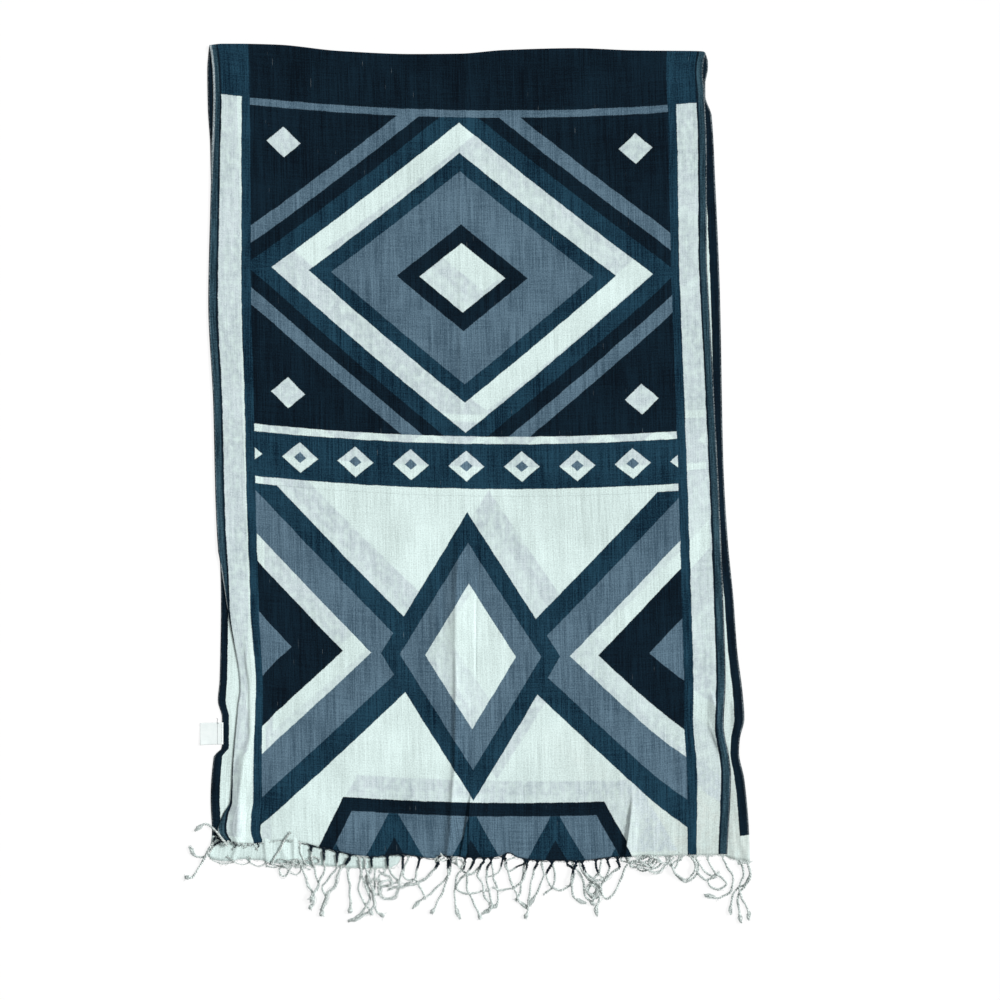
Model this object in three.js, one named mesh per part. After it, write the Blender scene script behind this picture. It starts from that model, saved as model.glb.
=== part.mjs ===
import * as THREE from 'three';

// A printed shawl-scarf of thin plain-woven cloth, folded once across its length and laid flat,
// with a knotted fringe at both ends. Millimetres. +Z is up and z = 0 is the surface under it.
// +Y points to the fold and -Y to the fringe. Each layer of cloth is a wall of its own.

// Driving dimensions
const CLOTH = 1.2; // wall of a layer of cloth, with the air that loose weave holds
const GAP = 0.3; // clearance between pieces that touch
const TURNED_CLOTH = 1; // wall of the selvedge strip pressed between the halves
const LABEL_TAPE = 0.8; // wall of the care label
const LOWER_FRINGE = 1.2; // height of the lower tassels, whose roots lie under the upper hem
const UPPER_FRINGE = 2; // height of the upper tassels
const BEND_ARM = 6; // how far the bend reaches onto each half
const BEND_FACETS = 6; // flats round the half turn of the bend
const WEFT_BOW = 5; // how far the weft sags towards the fringe, past its sag at the two ends
const EDGE_REACH = 60; // how far from a selvedge its waves fade out

const UPPER_UNDERSIDE = CLOTH + GAP;
const STACK = UPPER_UNDERSIDE + CLOTH; // height of the two halves together
const TURN_LIFT = TURNED_CLOTH + GAP; // how far the turned-under strip lifts the upper half

// The line of the fold, from the left selvedge to the right one. It sags in the middle.
const FOLD_LINE = [
  { x: -285, y: 489 },
  { x: -270, y: 490.5 },
  { x: -255, y: 490.5 },
  { x: -210, y: 489.5 },
  { x: -141, y: 482.5 },
  { x: -58, y: 479 },
  { x: -7, y: 479.5 },
  { x: 43, y: 483.5 },
  { x: 121, y: 485.5 },
  { x: 190, y: 483 },
  { x: 249, y: 482.5 },
  { x: 266, y: 479.5 },
];

// Selvedges of the upper half. Its left one is turned under from y = -70 to y = -350.
const UPPER_LEFT_SELVEDGE = [
  { y: 490, x: -285 },
  { y: 320, x: -283.5 },
  { y: 205, x: -286 },
  { y: 90, x: -280.5 },
  { y: -15, x: -278 },
  { y: -65, x: -275.5 },
  { y: -95, x: -271 },
  { y: -145, x: -263 },
  { y: -225, x: -250.5 },
  { y: -245, x: -253 },
  { y: -310, x: -259 },
  { y: -350, x: -261.5 },
  { y: -365, x: -270 },
  { y: -385, x: -276 },
  { y: -393, x: -270 },
];
const UPPER_RIGHT_SELVEDGE = [
  { y: 480, x: 266 },
  { y: 440, x: 264 },
  { y: 370, x: 267 },
  { y: 260, x: 267 },
  { y: 205, x: 269.5 },
  { y: 95, x: 275.5 },
  { y: -15, x: 281 },
  { y: -127, x: 285.5 },
  { y: -215, x: 288 },
  { y: -265, x: 286 },
  { y: -304, x: 292.5 },
  { y: -320, x: 294 },
  { y: -409, x: 290 },
];

// Selvedges of the lower half. It is spread wider than the upper one towards its hem.
const LOWER_LEFT_SELVEDGE = [
  { y: 490, x: -285 },
  { y: 450, x: -287 },
  { y: 377, x: -283.5 },
  { y: 150, x: -281 },
  { y: -60, x: -274 },
  { y: -127, x: -272 },
  { y: -215, x: -273.5 },
  { y: -238, x: -275.5 },
  { y: -257, x: -271 },
  { y: -290, x: -271 },
  { y: -300, x: -280 },
  { y: -348, x: -283.5 },
  { y: -384, x: -282 },
  { y: -412, x: -286.5 },
];
const LOWER_RIGHT_SELVEDGE = [
  { y: 480, x: 266 },
  { y: 425, x: 268 },
  { y: 412, x: 272.5 },
  { y: 340, x: 276.5 },
  { y: 206, x: 282 },
  { y: 29, x: 285.5 },
  { y: -60, x: 290.5 },
  { y: -127, x: 297 },
  { y: -182, x: 301 },
  { y: -258, x: 309 },
  { y: -295, x: 303 },
  { y: -326, x: 309 },
  { y: -382, x: 314 },
  { y: -417, x: 315 },
];

// Hems, where the tassels start. The lower one shows past the upper one only at its two ends,
// because its weft has slipped back towards the fold between them.
const UPPER_HEM = [
  { x: -270, y: -393 },
  { x: -241, y: -397 },
  { x: -203, y: -393 },
  { x: -159, y: -401.5 },
  { x: -107, y: -411.5 },
  { x: -73, y: -409 },
  { x: -35, y: -414 },
  { x: -27, y: -408 },
  { x: 27, y: -412.5 },
  { x: 50, y: -405.5 },
  { x: 74, y: -415 },
  { x: 123, y: -416 },
  { x: 168, y: -411.5 },
  { x: 290, y: -409 },
];
const LOWER_HEM = [
  { x: -286.5, y: -412 },
  { x: -279, y: -417.5 },
  { x: -195, y: -420 },
  { x: -159, y: -423 },
  { x: -114, y: -425 },
  { x: -80, y: -423.5 },
  { x: -65, y: -405 },
  { x: 50, y: -402 },
  { x: 100, y: -405.5 },
  { x: 278, y: -405 },
  { x: 293, y: -413 },
  { x: 315, y: -417 },
];

// How far the tassels of each half reach, from left to right.
const LOWER_REACH = [
  { x: -290, y: -440 },
  { x: -200, y: -440 },
  { x: -160, y: -482 },
  { x: -110, y: -485 },
  { x: -60, y: -476 },
  { x: 20, y: -478 },
  { x: 70, y: -482 },
  { x: 130, y: -476 },
  { x: 190, y: -448 },
  { x: 250, y: -452 },
  { x: 290, y: -484 },
  { x: 315, y: -486 },
];
const UPPER_REACH = [
  { x: -315, y: -440 },
  { x: -205, y: -436 },
  { x: -165, y: -488 },
  { x: -105, y: -480 },
  { x: -40, y: -477 },
  { x: 20, y: -482 },
  { x: 70, y: -480 },
  { x: 145, y: -480 },
  { x: 180, y: -438 },
  { x: 245, y: -442 },
  { x: 285, y: -482 },
  { x: 300, y: -490.5 },
  { x: 306, y: -490.5 },
  { x: 315, y: -487 },
];

// Soft ridges of the upper half, each along a line from (x0, y0) to (x1, y1). One that ends at
// the hem stays open there, and the others taper at both ends.
const UPPER_RIDGES = [
  { x0: -10, y0: 440, x1: -8, y1: -80, width: 12, rise: 0.8, ends: 'flat' }, // middle crease
  { x0: -36, y0: -80, x1: -33, y1: -190, width: 12, rise: 1.6, ends: 'flat' }, // trough's left bank
  { x0: -11, y0: -85, x1: -13, y1: -320, width: 10, rise: 2.2, ends: 'flat' }, // and its right one
  { x0: 11, y0: -85, x1: 11, y1: -175, width: 9, rise: 1.2, ends: 'flat' },
  { x0: -14, y0: -318, x1: -24, y1: -416, width: 10, rise: 3.2, ends: 'hem' }, // hem pleats
  { x0: 3, y0: -338, x1: 0, y1: -416, width: 10, rise: 2.8, ends: 'hem' },
  { x0: 185, y0: -345, x1: 178, y1: -416, width: 12, rise: 2.4, ends: 'hem' },
  { x0: -233, y0: -300, x1: -233, y1: -416, width: 12, rise: 1.6, ends: 'hem' },
];
const RIDGE_TAPER = 4; // a ridge rises over a quarter of its length

// The selvedge strip turned under the left edge of the upper half.
const TURNED_STRIP = [
  { y: -75, width: 4 },
  { y: -145, width: 10 },
  { y: -225, width: 15 },
  { y: -310, width: 14 },
  { y: -350, width: 10 },
];

// Where the turned-under strip lifts the upper half: down its length, and in from the edge.
const LIFT_DOWN = { starts: -20, full: -60, fullUntil: -352, ends: -392 };
const LIFT_IN = { fullUntil: 26, ends: 55 };

// The care label stands out from the lower half's left selvedge.
const LABEL = { left: -295, right: -271.4, top: -262, bottom: -286 };

// Grid lines of the cloth, as shares of its width and length. They crowd where it folds.
const ACROSS = [
  0, 0.02, 0.05, 0.075, 0.1, 0.16, 0.24, 0.32, 0.345, 0.368, 0.39, 0.425, 0.445, 0.46, 0.475,
  0.49, 0.505, 0.52, 0.54, 0.57, 0.63, 0.7, 0.765, 0.795, 0.825, 0.89, 0.95, 0.98, 1,
];
const UPPER_DOWN = [
  0, 0.04, 0.1, 0.18, 0.26, 0.34, 0.42, 0.5, 0.56, 0.6, 0.625, 0.66, 0.7, 0.745, 0.79, 0.82,
  0.85, 0.88, 0.905, 0.93, 0.952, 0.968, 0.99, 1,
];
const LOWER_DOWN = [
  0, 0.03, 0.07, 0.085, 0.16, 0.3, 0.46, 0.6, 0.68, 0.74, 0.79, 0.806, 0.827, 0.846, 0.863,
  0.875, 0.9, 0.93, 0.965, 1,
];
const FRINGE_DOWN = [0, 0.5, 1];

const { lerp: mix, smoothstep, clamp } = THREE.MathUtils;

// Reads a table at a place between two of its rows. Rows run up or down in the column `by`.
function read(table, by, column, place) {
  for (let i = 1; i < table.length; i += 1) {
    const from = table[i - 1];
    const to = table[i];
    const share = (place - from[by]) / (to[by] - from[by]);
    if (share <= 1 || i === table.length - 1) {
      return mix(from[column], to[column], clamp(share, 0, 1));
    }
  }
  return table[0][column];
}

function evenSteps(count) {
  return Array.from({ length: count + 1 }, (_, i) => i / count);
}

// A closed wall over a grid of places. `place` gives the underside at shares across and down.
function wall(across, down, place, thickness) {
  const underside = down.flatMap((t) => across.map((s) => place(s, t)));
  const topside = underside.map((p) => new THREE.Vector3(p.x, p.y, p.z + thickness));
  const columns = across.length;
  const rows = down.length;
  const top = (row, column) => underside.length + row * columns + column;
  const bottom = (row, column) => row * columns + column;
  const faces = [];
  for (let row = 0; row < rows - 1; row += 1) {
    for (let column = 0; column < columns - 1; column += 1) {
      faces.push(top(row, column), top(row + 1, column), top(row + 1, column + 1));
      faces.push(top(row, column), top(row + 1, column + 1), top(row, column + 1));
      faces.push(bottom(row, column), bottom(row + 1, column + 1), bottom(row + 1, column));
      faces.push(bottom(row, column), bottom(row, column + 1), bottom(row + 1, column + 1));
    }
  }
  const rim = [];
  for (let row = 0; row < rows - 1; row += 1) rim.push([row, 0]);
  for (let column = 0; column < columns - 1; column += 1) rim.push([rows - 1, column]);
  for (let row = rows - 1; row > 0; row -= 1) rim.push([row, columns - 1]);
  for (let column = columns - 1; column > 0; column -= 1) rim.push([0, column]);
  rim.forEach((from, i) => {
    const to = rim[(i + 1) % rim.length];
    faces.push(bottom(...from), bottom(...to), top(...to));
    faces.push(bottom(...from), top(...to), top(...from));
  });
  const geometry = new THREE.BufferGeometry().setFromPoints([...underside, ...topside]);
  geometry.setIndex(faces);
  geometry.computeVertexNormals();
  return geometry;
}

// A place on one half, without its height: first the plain sheet between straight selvedges,
// then the waves of the nearer selvedge, which fade out towards the middle.
function placeOnHalf(half, s, t) {
  const { left, right, hem } = half;
  const first = { left: left[0], right: right[0] };
  const last = { left: left[left.length - 1], right: right[right.length - 1] };
  const foldX = mix(first.left.x, first.right.x, s);
  const hemX = mix(last.left.x, last.right.x, s);
  const foldY = read(FOLD_LINE, 'x', 'y', foldX) - BEND_ARM - GAP;
  const hemY = read(hem, 'x', 'y', hemX);
  const bow = WEFT_BOW * Math.sin(Math.PI * t) * (1 - (2 * s - 1) ** 2);
  const y = mix(foldY, hemY, t) - bow;
  const plainLeft = mix(first.left.x, last.left.x, t);
  const plainRight = mix(first.right.x, last.right.x, t);
  const plainX = mix(plainLeft, plainRight, s);
  const leftFade = Math.max(0, 1 - (plainX - plainLeft) / EDGE_REACH);
  const rightFade = Math.max(0, 1 - (plainRight - plainX) / EDGE_REACH);
  const leftWave = (read(left, 'y', 'x', y) - plainLeft) * leftFade;
  const rightWave = (read(right, 'y', 'x', y) - plainRight) * rightFade;
  return { x: plainX + leftWave + rightWave, y, fromLeft: plainX - plainLeft };
}

// Height of one ridge at a place: round across, and tapered at its two ends.
function ridgeHeight(ridge, x, y) {
  const share = (y - ridge.y0) / (ridge.y1 - ridge.y0);
  if (share < 0 || share > 1) return 0;
  const across = (x - mix(ridge.x0, ridge.x1, share)) / ridge.width;
  const farTaper = ridge.ends === 'hem' ? 1 : (1 - share) * RIDGE_TAPER;
  const taper = Math.min(1, share * RIDGE_TAPER, farTaper);
  return ridge.rise * taper * Math.exp(-across * across);
}

// The strip lifts the upper half along its left edge, up to the full lift over the strip.
function turnLift(fromLeft, y) {
  const begun = 1 - smoothstep(y, LIFT_DOWN.full, LIFT_DOWN.starts);
  const notEnded = smoothstep(y, LIFT_DOWN.ends, LIFT_DOWN.fullUntil);
  const overStrip = 1 - smoothstep(fromLeft, LIFT_IN.fullUntil, LIFT_IN.ends);
  return TURN_LIFT * Math.min(begun, notEnded) * overStrip;
}

const UPPER = { left: UPPER_LEFT_SELVEDGE, right: UPPER_RIGHT_SELVEDGE, hem: UPPER_HEM };
const LOWER = { left: LOWER_LEFT_SELVEDGE, right: LOWER_RIGHT_SELVEDGE, hem: LOWER_HEM };

function upperPlace(s, t) {
  const { x, y, fromLeft } = placeOnHalf(UPPER, s, t);
  const ridges = UPPER_RIDGES.map((ridge) => ridgeHeight(ridge, x, y));
  const z = UPPER_UNDERSIDE + turnLift(fromLeft, y) + Math.max(...ridges);
  return new THREE.Vector3(x, y, z);
}

function lowerPlace(s, t) {
  const { x, y } = placeOnHalf(LOWER, s, t);
  return new THREE.Vector3(x, y, 0);
}

function turnedStripPlace(s, t) {
  const y = mix(TURNED_STRIP[0].y, TURNED_STRIP[TURNED_STRIP.length - 1].y, t);
  const edge = read(UPPER_LEFT_SELVEDGE, 'y', 'x', y) + GAP;
  return new THREE.Vector3(edge + s * read(TURNED_STRIP, 'y', 'width', y), y, UPPER_UNDERSIDE);
}

function labelPlace(s, t) {
  return new THREE.Vector3(mix(LABEL.left, LABEL.right, s), mix(LABEL.top, LABEL.bottom, t), 0);
}

// Tassels spread from the hem line, each half's in one layer.
function fringePlace(hem, reach, underside) {
  return (s, t) => {
    const hemX = mix(hem[0].x, hem[hem.length - 1].x, s);
    const tipX = mix(reach[0].x, reach[reach.length - 1].x, s);
    const hemY = read(hem, 'x', 'y', hemX) - GAP;
    const tipY = read(reach, 'x', 'y', tipX);
    return new THREE.Vector3(mix(hemX, tipX, t), mix(hemY, tipY, t), underside);
  };
}

// The bend is a C in section, open towards the hem, and follows the fold line.
function bendGeometry() {
  const outerRadius = STACK / 2;
  const innerRadius = outerRadius - CLOTH;
  const path = (radius) => {
    const turn = evenSteps(BEND_FACETS).map((share) => {
      const angle = Math.PI * (share - 0.5);
      return [radius * Math.cos(angle) - outerRadius, outerRadius + radius * Math.sin(angle)];
    });
    return [[-BEND_ARM, outerRadius - radius], ...turn, [-BEND_ARM, outerRadius + radius]];
  };
  const section = [...path(outerRadius), ...path(innerRadius).reverse()];
  const stations = ACROSS.map((s) => mix(FOLD_LINE[0].x, FOLD_LINE[FOLD_LINE.length - 1].x, s));
  const points = stations.flatMap((x) => {
    const y = read(FOLD_LINE, 'x', 'y', x);
    return section.map(([offset, height]) => new THREE.Vector3(x, y + offset, height));
  });
  const around = section.length;
  const faces = [];
  for (let station = 0; station < stations.length - 1; station += 1) {
    for (let i = 0; i < around; i += 1) {
      const here = station * around + i;
      const next = station * around + (i + 1) % around;
      faces.push(here, next, next + around);
      faces.push(here, next + around, here + around);
    }
  }
  const lastRing = (stations.length - 1) * around;
  for (let i = 0; i < around / 2 - 1; i += 1) {
    const inner = around - 1 - i;
    faces.push(i, inner, inner - 1, i, inner - 1, i + 1);
    faces.push(lastRing + i, lastRing + inner - 1, lastRing + inner);
    faces.push(lastRing + i, lastRing + i + 1, lastRing + inner - 1);
  }
  const geometry = new THREE.BufferGeometry().setFromPoints(points);
  geometry.setIndex(faces);
  geometry.computeVertexNormals();
  return geometry;
}

function cloth(colour) {
  return new THREE.MeshStandardMaterial({ color: colour, roughness: 0.9, metalness: 0 });
}

function add(group, name, geometry, material) {
  const mesh = new THREE.Mesh(geometry, material);
  mesh.name = name;
  group.add(mesh);
}

const lowerFringe = fringePlace(LOWER_HEM, LOWER_REACH, 0);
const upperFringe = fringePlace(UPPER_HEM, UPPER_REACH, UPPER_UNDERSIDE);

const scarf = new THREE.Group();
add(scarf, 'lower_half', wall(ACROSS, LOWER_DOWN, lowerPlace, CLOTH), cloth(0x1b2d3a));
add(scarf, 'upper_half', wall(ACROSS, UPPER_DOWN, upperPlace, CLOTH), cloth(0x51687a));
add(scarf, 'fold_bend', bendGeometry(), cloth(0x101e29));
const strip = wall(evenSteps(1), evenSteps(14), turnedStripPlace, TURNED_CLOTH);
add(scarf, 'turned_selvedge', strip, cloth(0x12202b));
const lowerTassels = wall(ACROSS, FRINGE_DOWN, lowerFringe, LOWER_FRINGE);
add(scarf, 'lower_fringe', lowerTassels, cloth(0xd5dcd9));
const upperTassels = wall(ACROSS, FRINGE_DOWN, upperFringe, UPPER_FRINGE);
add(scarf, 'upper_fringe', upperTassels, cloth(0xdde3e0));
add(scarf, 'care_label', wall(evenSteps(1), evenSteps(1), labelPlace, LABEL_TAPE), cloth(0xf2f4f2));

export default scarf;
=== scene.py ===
import math

import bpy
import numpy as np
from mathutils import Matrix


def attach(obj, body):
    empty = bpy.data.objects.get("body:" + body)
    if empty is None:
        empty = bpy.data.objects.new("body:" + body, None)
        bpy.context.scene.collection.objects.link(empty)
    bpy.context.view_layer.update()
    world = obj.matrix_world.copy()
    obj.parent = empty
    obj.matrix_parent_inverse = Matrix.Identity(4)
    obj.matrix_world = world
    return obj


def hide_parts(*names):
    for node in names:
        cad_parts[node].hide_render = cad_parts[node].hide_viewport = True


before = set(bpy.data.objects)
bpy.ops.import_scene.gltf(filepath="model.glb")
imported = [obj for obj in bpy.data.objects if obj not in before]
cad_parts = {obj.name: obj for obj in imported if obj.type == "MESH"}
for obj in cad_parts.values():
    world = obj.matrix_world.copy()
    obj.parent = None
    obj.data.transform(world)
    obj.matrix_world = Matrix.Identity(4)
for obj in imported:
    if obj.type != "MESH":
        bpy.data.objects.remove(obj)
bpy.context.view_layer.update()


# The camera hangs straight above the scarf, as over a sorting table, with the fold at the top
# of the view. It sees a field of 1.11 m.
VIEW_WIDTH = 1.11
VIEW_CENTRE = (0.0377, -0.0155)
CAMERA_HEIGHT = 2.4
camera_data = bpy.data.cameras.new("overhead")
camera_data.sensor_width = 36.0
camera_data.lens = camera_data.sensor_width * CAMERA_HEIGHT / VIEW_WIDTH
camera = bpy.data.objects.new("overhead", camera_data)
camera.location = (*VIEW_CENTRE, CAMERA_HEIGHT)
bpy.context.collection.objects.link(camera)
bpy.context.scene.camera = camera


# The table top is a light table: opal white, and lit evenly from within, so that hardly a shadow
# shows on it. A white room and one lamp on the right light the cloth, to shade its creases.
FLOOR_SIDE = 40.0
FLOOR_DROP = 0.0003
FLOOR_GLOW = 0.86
WHITE = (1.0, 1.0, 1.0, 1.0)
ROOM_LIGHT = 0.42
LAMP = {"strength": 3.13, "spread": 14.0, "height": 36.0, "turn": 18.0}  # the last 3 in degrees

bpy.context.scene.view_settings.view_transform = "Standard"
bpy.context.scene.view_settings.look = "None"


def from_srgb(red, green, blue):
    """The linear colour of a shade that is named in steps of 0 to 255."""
    linear = []
    for step in (red, green, blue):
        share = step / 255.0
        if share <= 0.04045:
            linear.append(share / 12.92)
        else:
            linear.append(((share + 0.055) / 1.055) ** 2.4)
    return (*linear, 1.0)


def new_material(name, settings):
    """A material, its nodes and its shader, with the settings that are the same all over it."""
    material = bpy.data.materials.new(name)
    material.use_nodes = True
    shader = material.node_tree.nodes["Principled BSDF"]
    for socket, value in settings.items():
        shader.inputs[socket].default_value = value
    return material, material.node_tree, shader


def link_piece(name, mesh):
    piece = bpy.data.objects.new(name, mesh)
    bpy.context.collection.objects.link(piece)
    return piece


def make_floor():
    half = FLOOR_SIDE / 2.0
    mesh = bpy.data.meshes.new("floor")
    corners = [(-half, -half), (half, -half), (half, half), (-half, half)]
    mesh.from_pydata([(x, y, -FLOOR_DROP) for x, y in corners], [], [(0, 1, 2, 3)])
    material, tree, shader = new_material("pale_table", {
        "Roughness": 0.95,
        "Specular IOR Level": 0.1,
        "Emission Color": WHITE,
        "Emission Strength": FLOOR_GLOW,
    })
    grain = tree.nodes.new("ShaderNodeTexNoise")
    grain.inputs["Scale"].default_value = 3.0
    shades = tree.nodes.new("ShaderNodeValToRGB")
    shades.color_ramp.elements[0].color = from_srgb(104, 104, 104)
    shades.color_ramp.elements[1].color = from_srgb(108, 108, 108)
    tree.links.new(grain.outputs["Fac"], shades.inputs["Fac"])
    tree.links.new(shades.outputs["Color"], shader.inputs["Base Color"])
    mesh.materials.append(material)
    return link_piece("table_top", mesh)


make_floor()

room = bpy.data.worlds.new("white_room")
room.use_nodes = True
sky = room.node_tree.nodes["Background"]
sky.inputs["Color"].default_value = WHITE
sky.inputs["Strength"].default_value = ROOM_LIGHT
bpy.context.scene.world = room

lamp = bpy.data.lights.new("broad_lamp", "SUN")
lamp.energy = LAMP["strength"]
lamp.angle = math.radians(LAMP["spread"])
broad_lamp = bpy.data.objects.new("broad_lamp", lamp)
broad_lamp.rotation_euler = (0.0, math.radians(90.0 - LAMP["height"]), math.radians(LAMP["turn"]))
bpy.context.collection.objects.link(broad_lamp)


# The lower half of the scarf lies flat on the table, printed side down. It is one thin layer
# of loose plain weave, woven in one length with the upper half, and spread wider at its hem.
MM = 0.001  # the scarf's sizes are in mm
HALF_WIDTH = 280.0
HALF_LENGTH = 890.0
CLOTH_THICK = 0.5
LOWER_HEIGHT = 0.36
LOWER_RIPPLE = 0.25
FOLD_RADIUS = 1.2
WEFT_BOW = 5.0
EDGE_REACH = 60.0  # how far in from a selvedge the threads follow its waves

# Outlines. The rows of the fold and the hem run from left to right, and hold x and y. Those
# of the selvedges run from the fold down to the hem, and hold y and x.
FOLD_LINE = [
    (-285, 489), (-270, 490.5), (-255, 490.5), (-210, 489.5), (-141, 482.5), (-58, 479),
    (-7, 479.5), (43, 483.5), (121, 485.5), (190, 483), (249, 482.5), (260, 482.2), (264, 481.6),
    (266, 479.8),
]
LOWER_LEFT = [
    (490, -285), (480, -286), (462, -287.2), (420, -286.6), (377, -284), (150, -281),
    (-60, -274), (-127, -272), (-215, -273.5), (-238, -275.5), (-257, -271), (-290, -271),
    (-300, -280), (-348, -283.5), (-384, -282), (-412, -286.5),
]
LOWER_RIGHT = [
    (480, 266), (470, 268.6), (460, 268.2), (448, 265.6), (432, 265.6), (425, 267.5),
    (412, 272.5), (340, 276.5), (206, 282), (29, 285.5), (-60, 290.5), (-127, 297),
    (-182, 301), (-230, 307), (-258, 309), (-280, 304), (-295, 303), (-326, 309),
    (-382, 314), (-417, 315),
]
LOWER_HEM = [
    (-286.5, -411), (-279, -414.5), (-266, -416), (-258, -416), (-254, -414), (-245, -413.8),
    (-241, -416.5), (-237, -414.6), (-226, -415), (-221, -418), (-195, -418.5), (-159, -421),
    (-114, -424), (-80, -423.5), (-66, -405), (50, -402), (100, -405.5), (278, -405),
    (293, -413), (315, -417),
]


def crease(*line, **shape):
    """A crease or tuck: the places of its line, and its widths, rise or depth. A crease down
    the cloth has its places as y and x, and one across the cloth as x and y."""
    return {"line": line, **shape}


def hem_pleat(*line, **shape):
    """A crease that is pressed in sharply, and runs out over the hem."""
    return crease(*line, **shape, pressed=True, to_hem=True)


LOWER_CREASES_DOWN = [
    crease((-232, 295), (-245, 299), (-262, 301), (-284, 303), left=5, right=2.2, rise=1.9),
    crease((-330, 300), (-390, 303), left=5, right=9, rise=0.7),
    crease((-358, 294), (-420, 297), left=3, right=6, rise=0.9, to_hem=True),
    hem_pleat((-378, 299), (-386, 301.6), (-398, 305.4), (-410, 309.4), (-422, 313), left=1.4,
        right=7, rise=1.2),
    crease((-300, -276), (-385, -277), left=4, right=6, rise=0.6),
    hem_pleat((-386, -251), (-399, -254.5), (-414, -259.6), (-424, -262), left=1.1, right=9,
        rise=1.9),
    hem_pleat((-384, -224.5), (-397, -223.6), (-415, -221.6), (-424, -220), left=1.2, right=8,
        rise=1.5),
    hem_pleat((-390, -209), (-404, -205.3), (-418, -197), (-424, -194), left=1.1, right=6,
        rise=1.3),
    hem_pleat((-382, -192), (-395, -191), (-424, -191), left=1.1, right=7, rise=1.4),
]


def follow(rows, place):
    """Read a table as one soft line that never swings past its own rows."""
    at = np.array([row[0] for row in rows], float)
    value = np.array([row[1] for row in rows], float)
    if at[0] > at[-1]:
        at, value = at[::-1], value[::-1]
    gaps = np.diff(at)
    pitch = np.diff(value) / gaps
    slope = np.zeros(len(at))
    slope[0], slope[-1] = pitch[0], pitch[-1]
    same_way = pitch[:-1] * pitch[1:] > 0
    both = np.where(same_way, pitch[:-1] + pitch[1:], 1.0)
    slope[1:-1] = np.where(same_way, 2.0 * pitch[:-1] * pitch[1:] / both, 0.0)
    place = np.clip(place, at[0], at[-1])
    here = np.clip(np.searchsorted(at, place) - 1, 0, len(gaps) - 1)
    step = gaps[here]
    share = (place - at[here]) / step
    square, cube = share**2, share**3
    return (
        (2 * cube - 3 * square + 1) * value[here]
        + (cube - 2 * square + share) * step * slope[here]
        + (3 * square - 2 * cube) * value[here + 1]
        + (cube - square) * step * slope[here + 1]
    )


def blend(start, end, share):
    return start + (end - start) * share


def ease(start, end, place):
    share = np.clip((place - start) / (end - start), 0.0, 1.0)
    return share * share * (3.0 - 2.0 * share)


def lay_half(left, right, hem, across, down):
    """Where a thread of one half lies, from its shares across and down the half."""
    fold_x = blend(left[0][1], right[0][1], across)
    hem_x = blend(left[-1][1], right[-1][1], across)
    fold_y = follow(FOLD_LINE, fold_x) - FOLD_RADIUS
    bow = WEFT_BOW * np.sin(np.pi * down) * (1.0 - (2.0 * across - 1.0) ** 2)
    y = blend(fold_y, follow(hem, hem_x), down) - bow
    plain_left = blend(left[0][1], left[-1][1], down)
    plain_right = blend(right[0][1], right[-1][1], down)
    x = blend(plain_left, plain_right, across)
    left_fade = np.clip(1.0 - (x - plain_left) / EDGE_REACH, 0.0, 1.0)
    right_fade = np.clip(1.0 - (plain_right - x) / EDGE_REACH, 0.0, 1.0)
    left_wave = (follow(left, y) - plain_left) * left_fade
    right_wave = (follow(right, y) - plain_right) * right_fade
    return x + left_wave + right_wave, y


def crease_height(creases, away, along):
    """Ridges, of which the highest counts, less the grooves pressed between them. Each has two
    sides of its own, and tapers at its ends. A pinch has straight sides that narrow as it sinks."""
    ridge = np.zeros_like(away)
    groove = np.zeros_like(away)
    for each in creases:
        first, last = each["line"][0][0], each["line"][-1][0]
        share = (along - first) / (last - first)
        far_end = 1.0 if each.get("to_hem") else ease(1.0, 0.75, share)
        taper = ease(0.0, each.get("start", 0.25), share) * far_end * (share <= 1.05)
        side = away - follow(each["line"], along)
        reach = np.abs(side) / np.where(side < 0.0, each["left"], each["right"])
        if each.get("pinch"):
            bump = each["rise"] * np.clip(taper - reach, 0.0, 1.0)
        else:
            sharpness = 1.2 if each.get("pressed") else 2.0
            bump = each["rise"] * taper * np.exp(-(reach**sharpness))
        ridge = np.maximum(ridge, bump)
        groove += np.minimum(bump, 0.0)
    return ridge + groove


def swell(x, y):
    """The long low waves that thin cloth keeps after smoothing by hand."""
    waves = 0.16 * np.sin(x / 47.0 + 0.9 * np.sin(y / 118.0))
    waves += 0.14 * np.sin(y / 61.0 + 1.3 * np.sin(x / 93.0) + 0.7)
    waves += 0.10 * np.sin((x + 0.6 * y) / 31.0 + 2.1)
    waves += 0.08 * np.sin((0.8 * x - y) / 23.0 + 0.4)
    return waves


def thread_lines(*runs):
    """Places of the mesh lines: each run goes from one place to the next by its own step."""
    places = [runs[0][0]]
    for start, end, step in runs:
        count = max(1, round((end - start) / step))
        places += [start + (end - start) * i / count for i in range(1, count + 1)]
    return np.array(places)


def new_mesh(name, points, faces, maps):
    """A smooth mesh, with maps that hold a place for each of its points."""
    mesh = bpy.data.meshes.new(name)
    mesh.from_pydata((points * MM).tolist(), [], faces)
    corners = np.empty(len(mesh.loops), dtype=np.int32)
    mesh.loops.foreach_get("vertex_index", corners)
    for map_name, places in maps.items():
        flat = (places * MM)[corners]
        layer = mesh.uv_layers.new(name=map_name)
        layer.data.foreach_set("uv", flat.astype(np.float32).reshape(-1))
    mesh.polygons.foreach_set("use_smooth", [True] * len(mesh.polygons))
    mesh.update()
    return mesh


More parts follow.
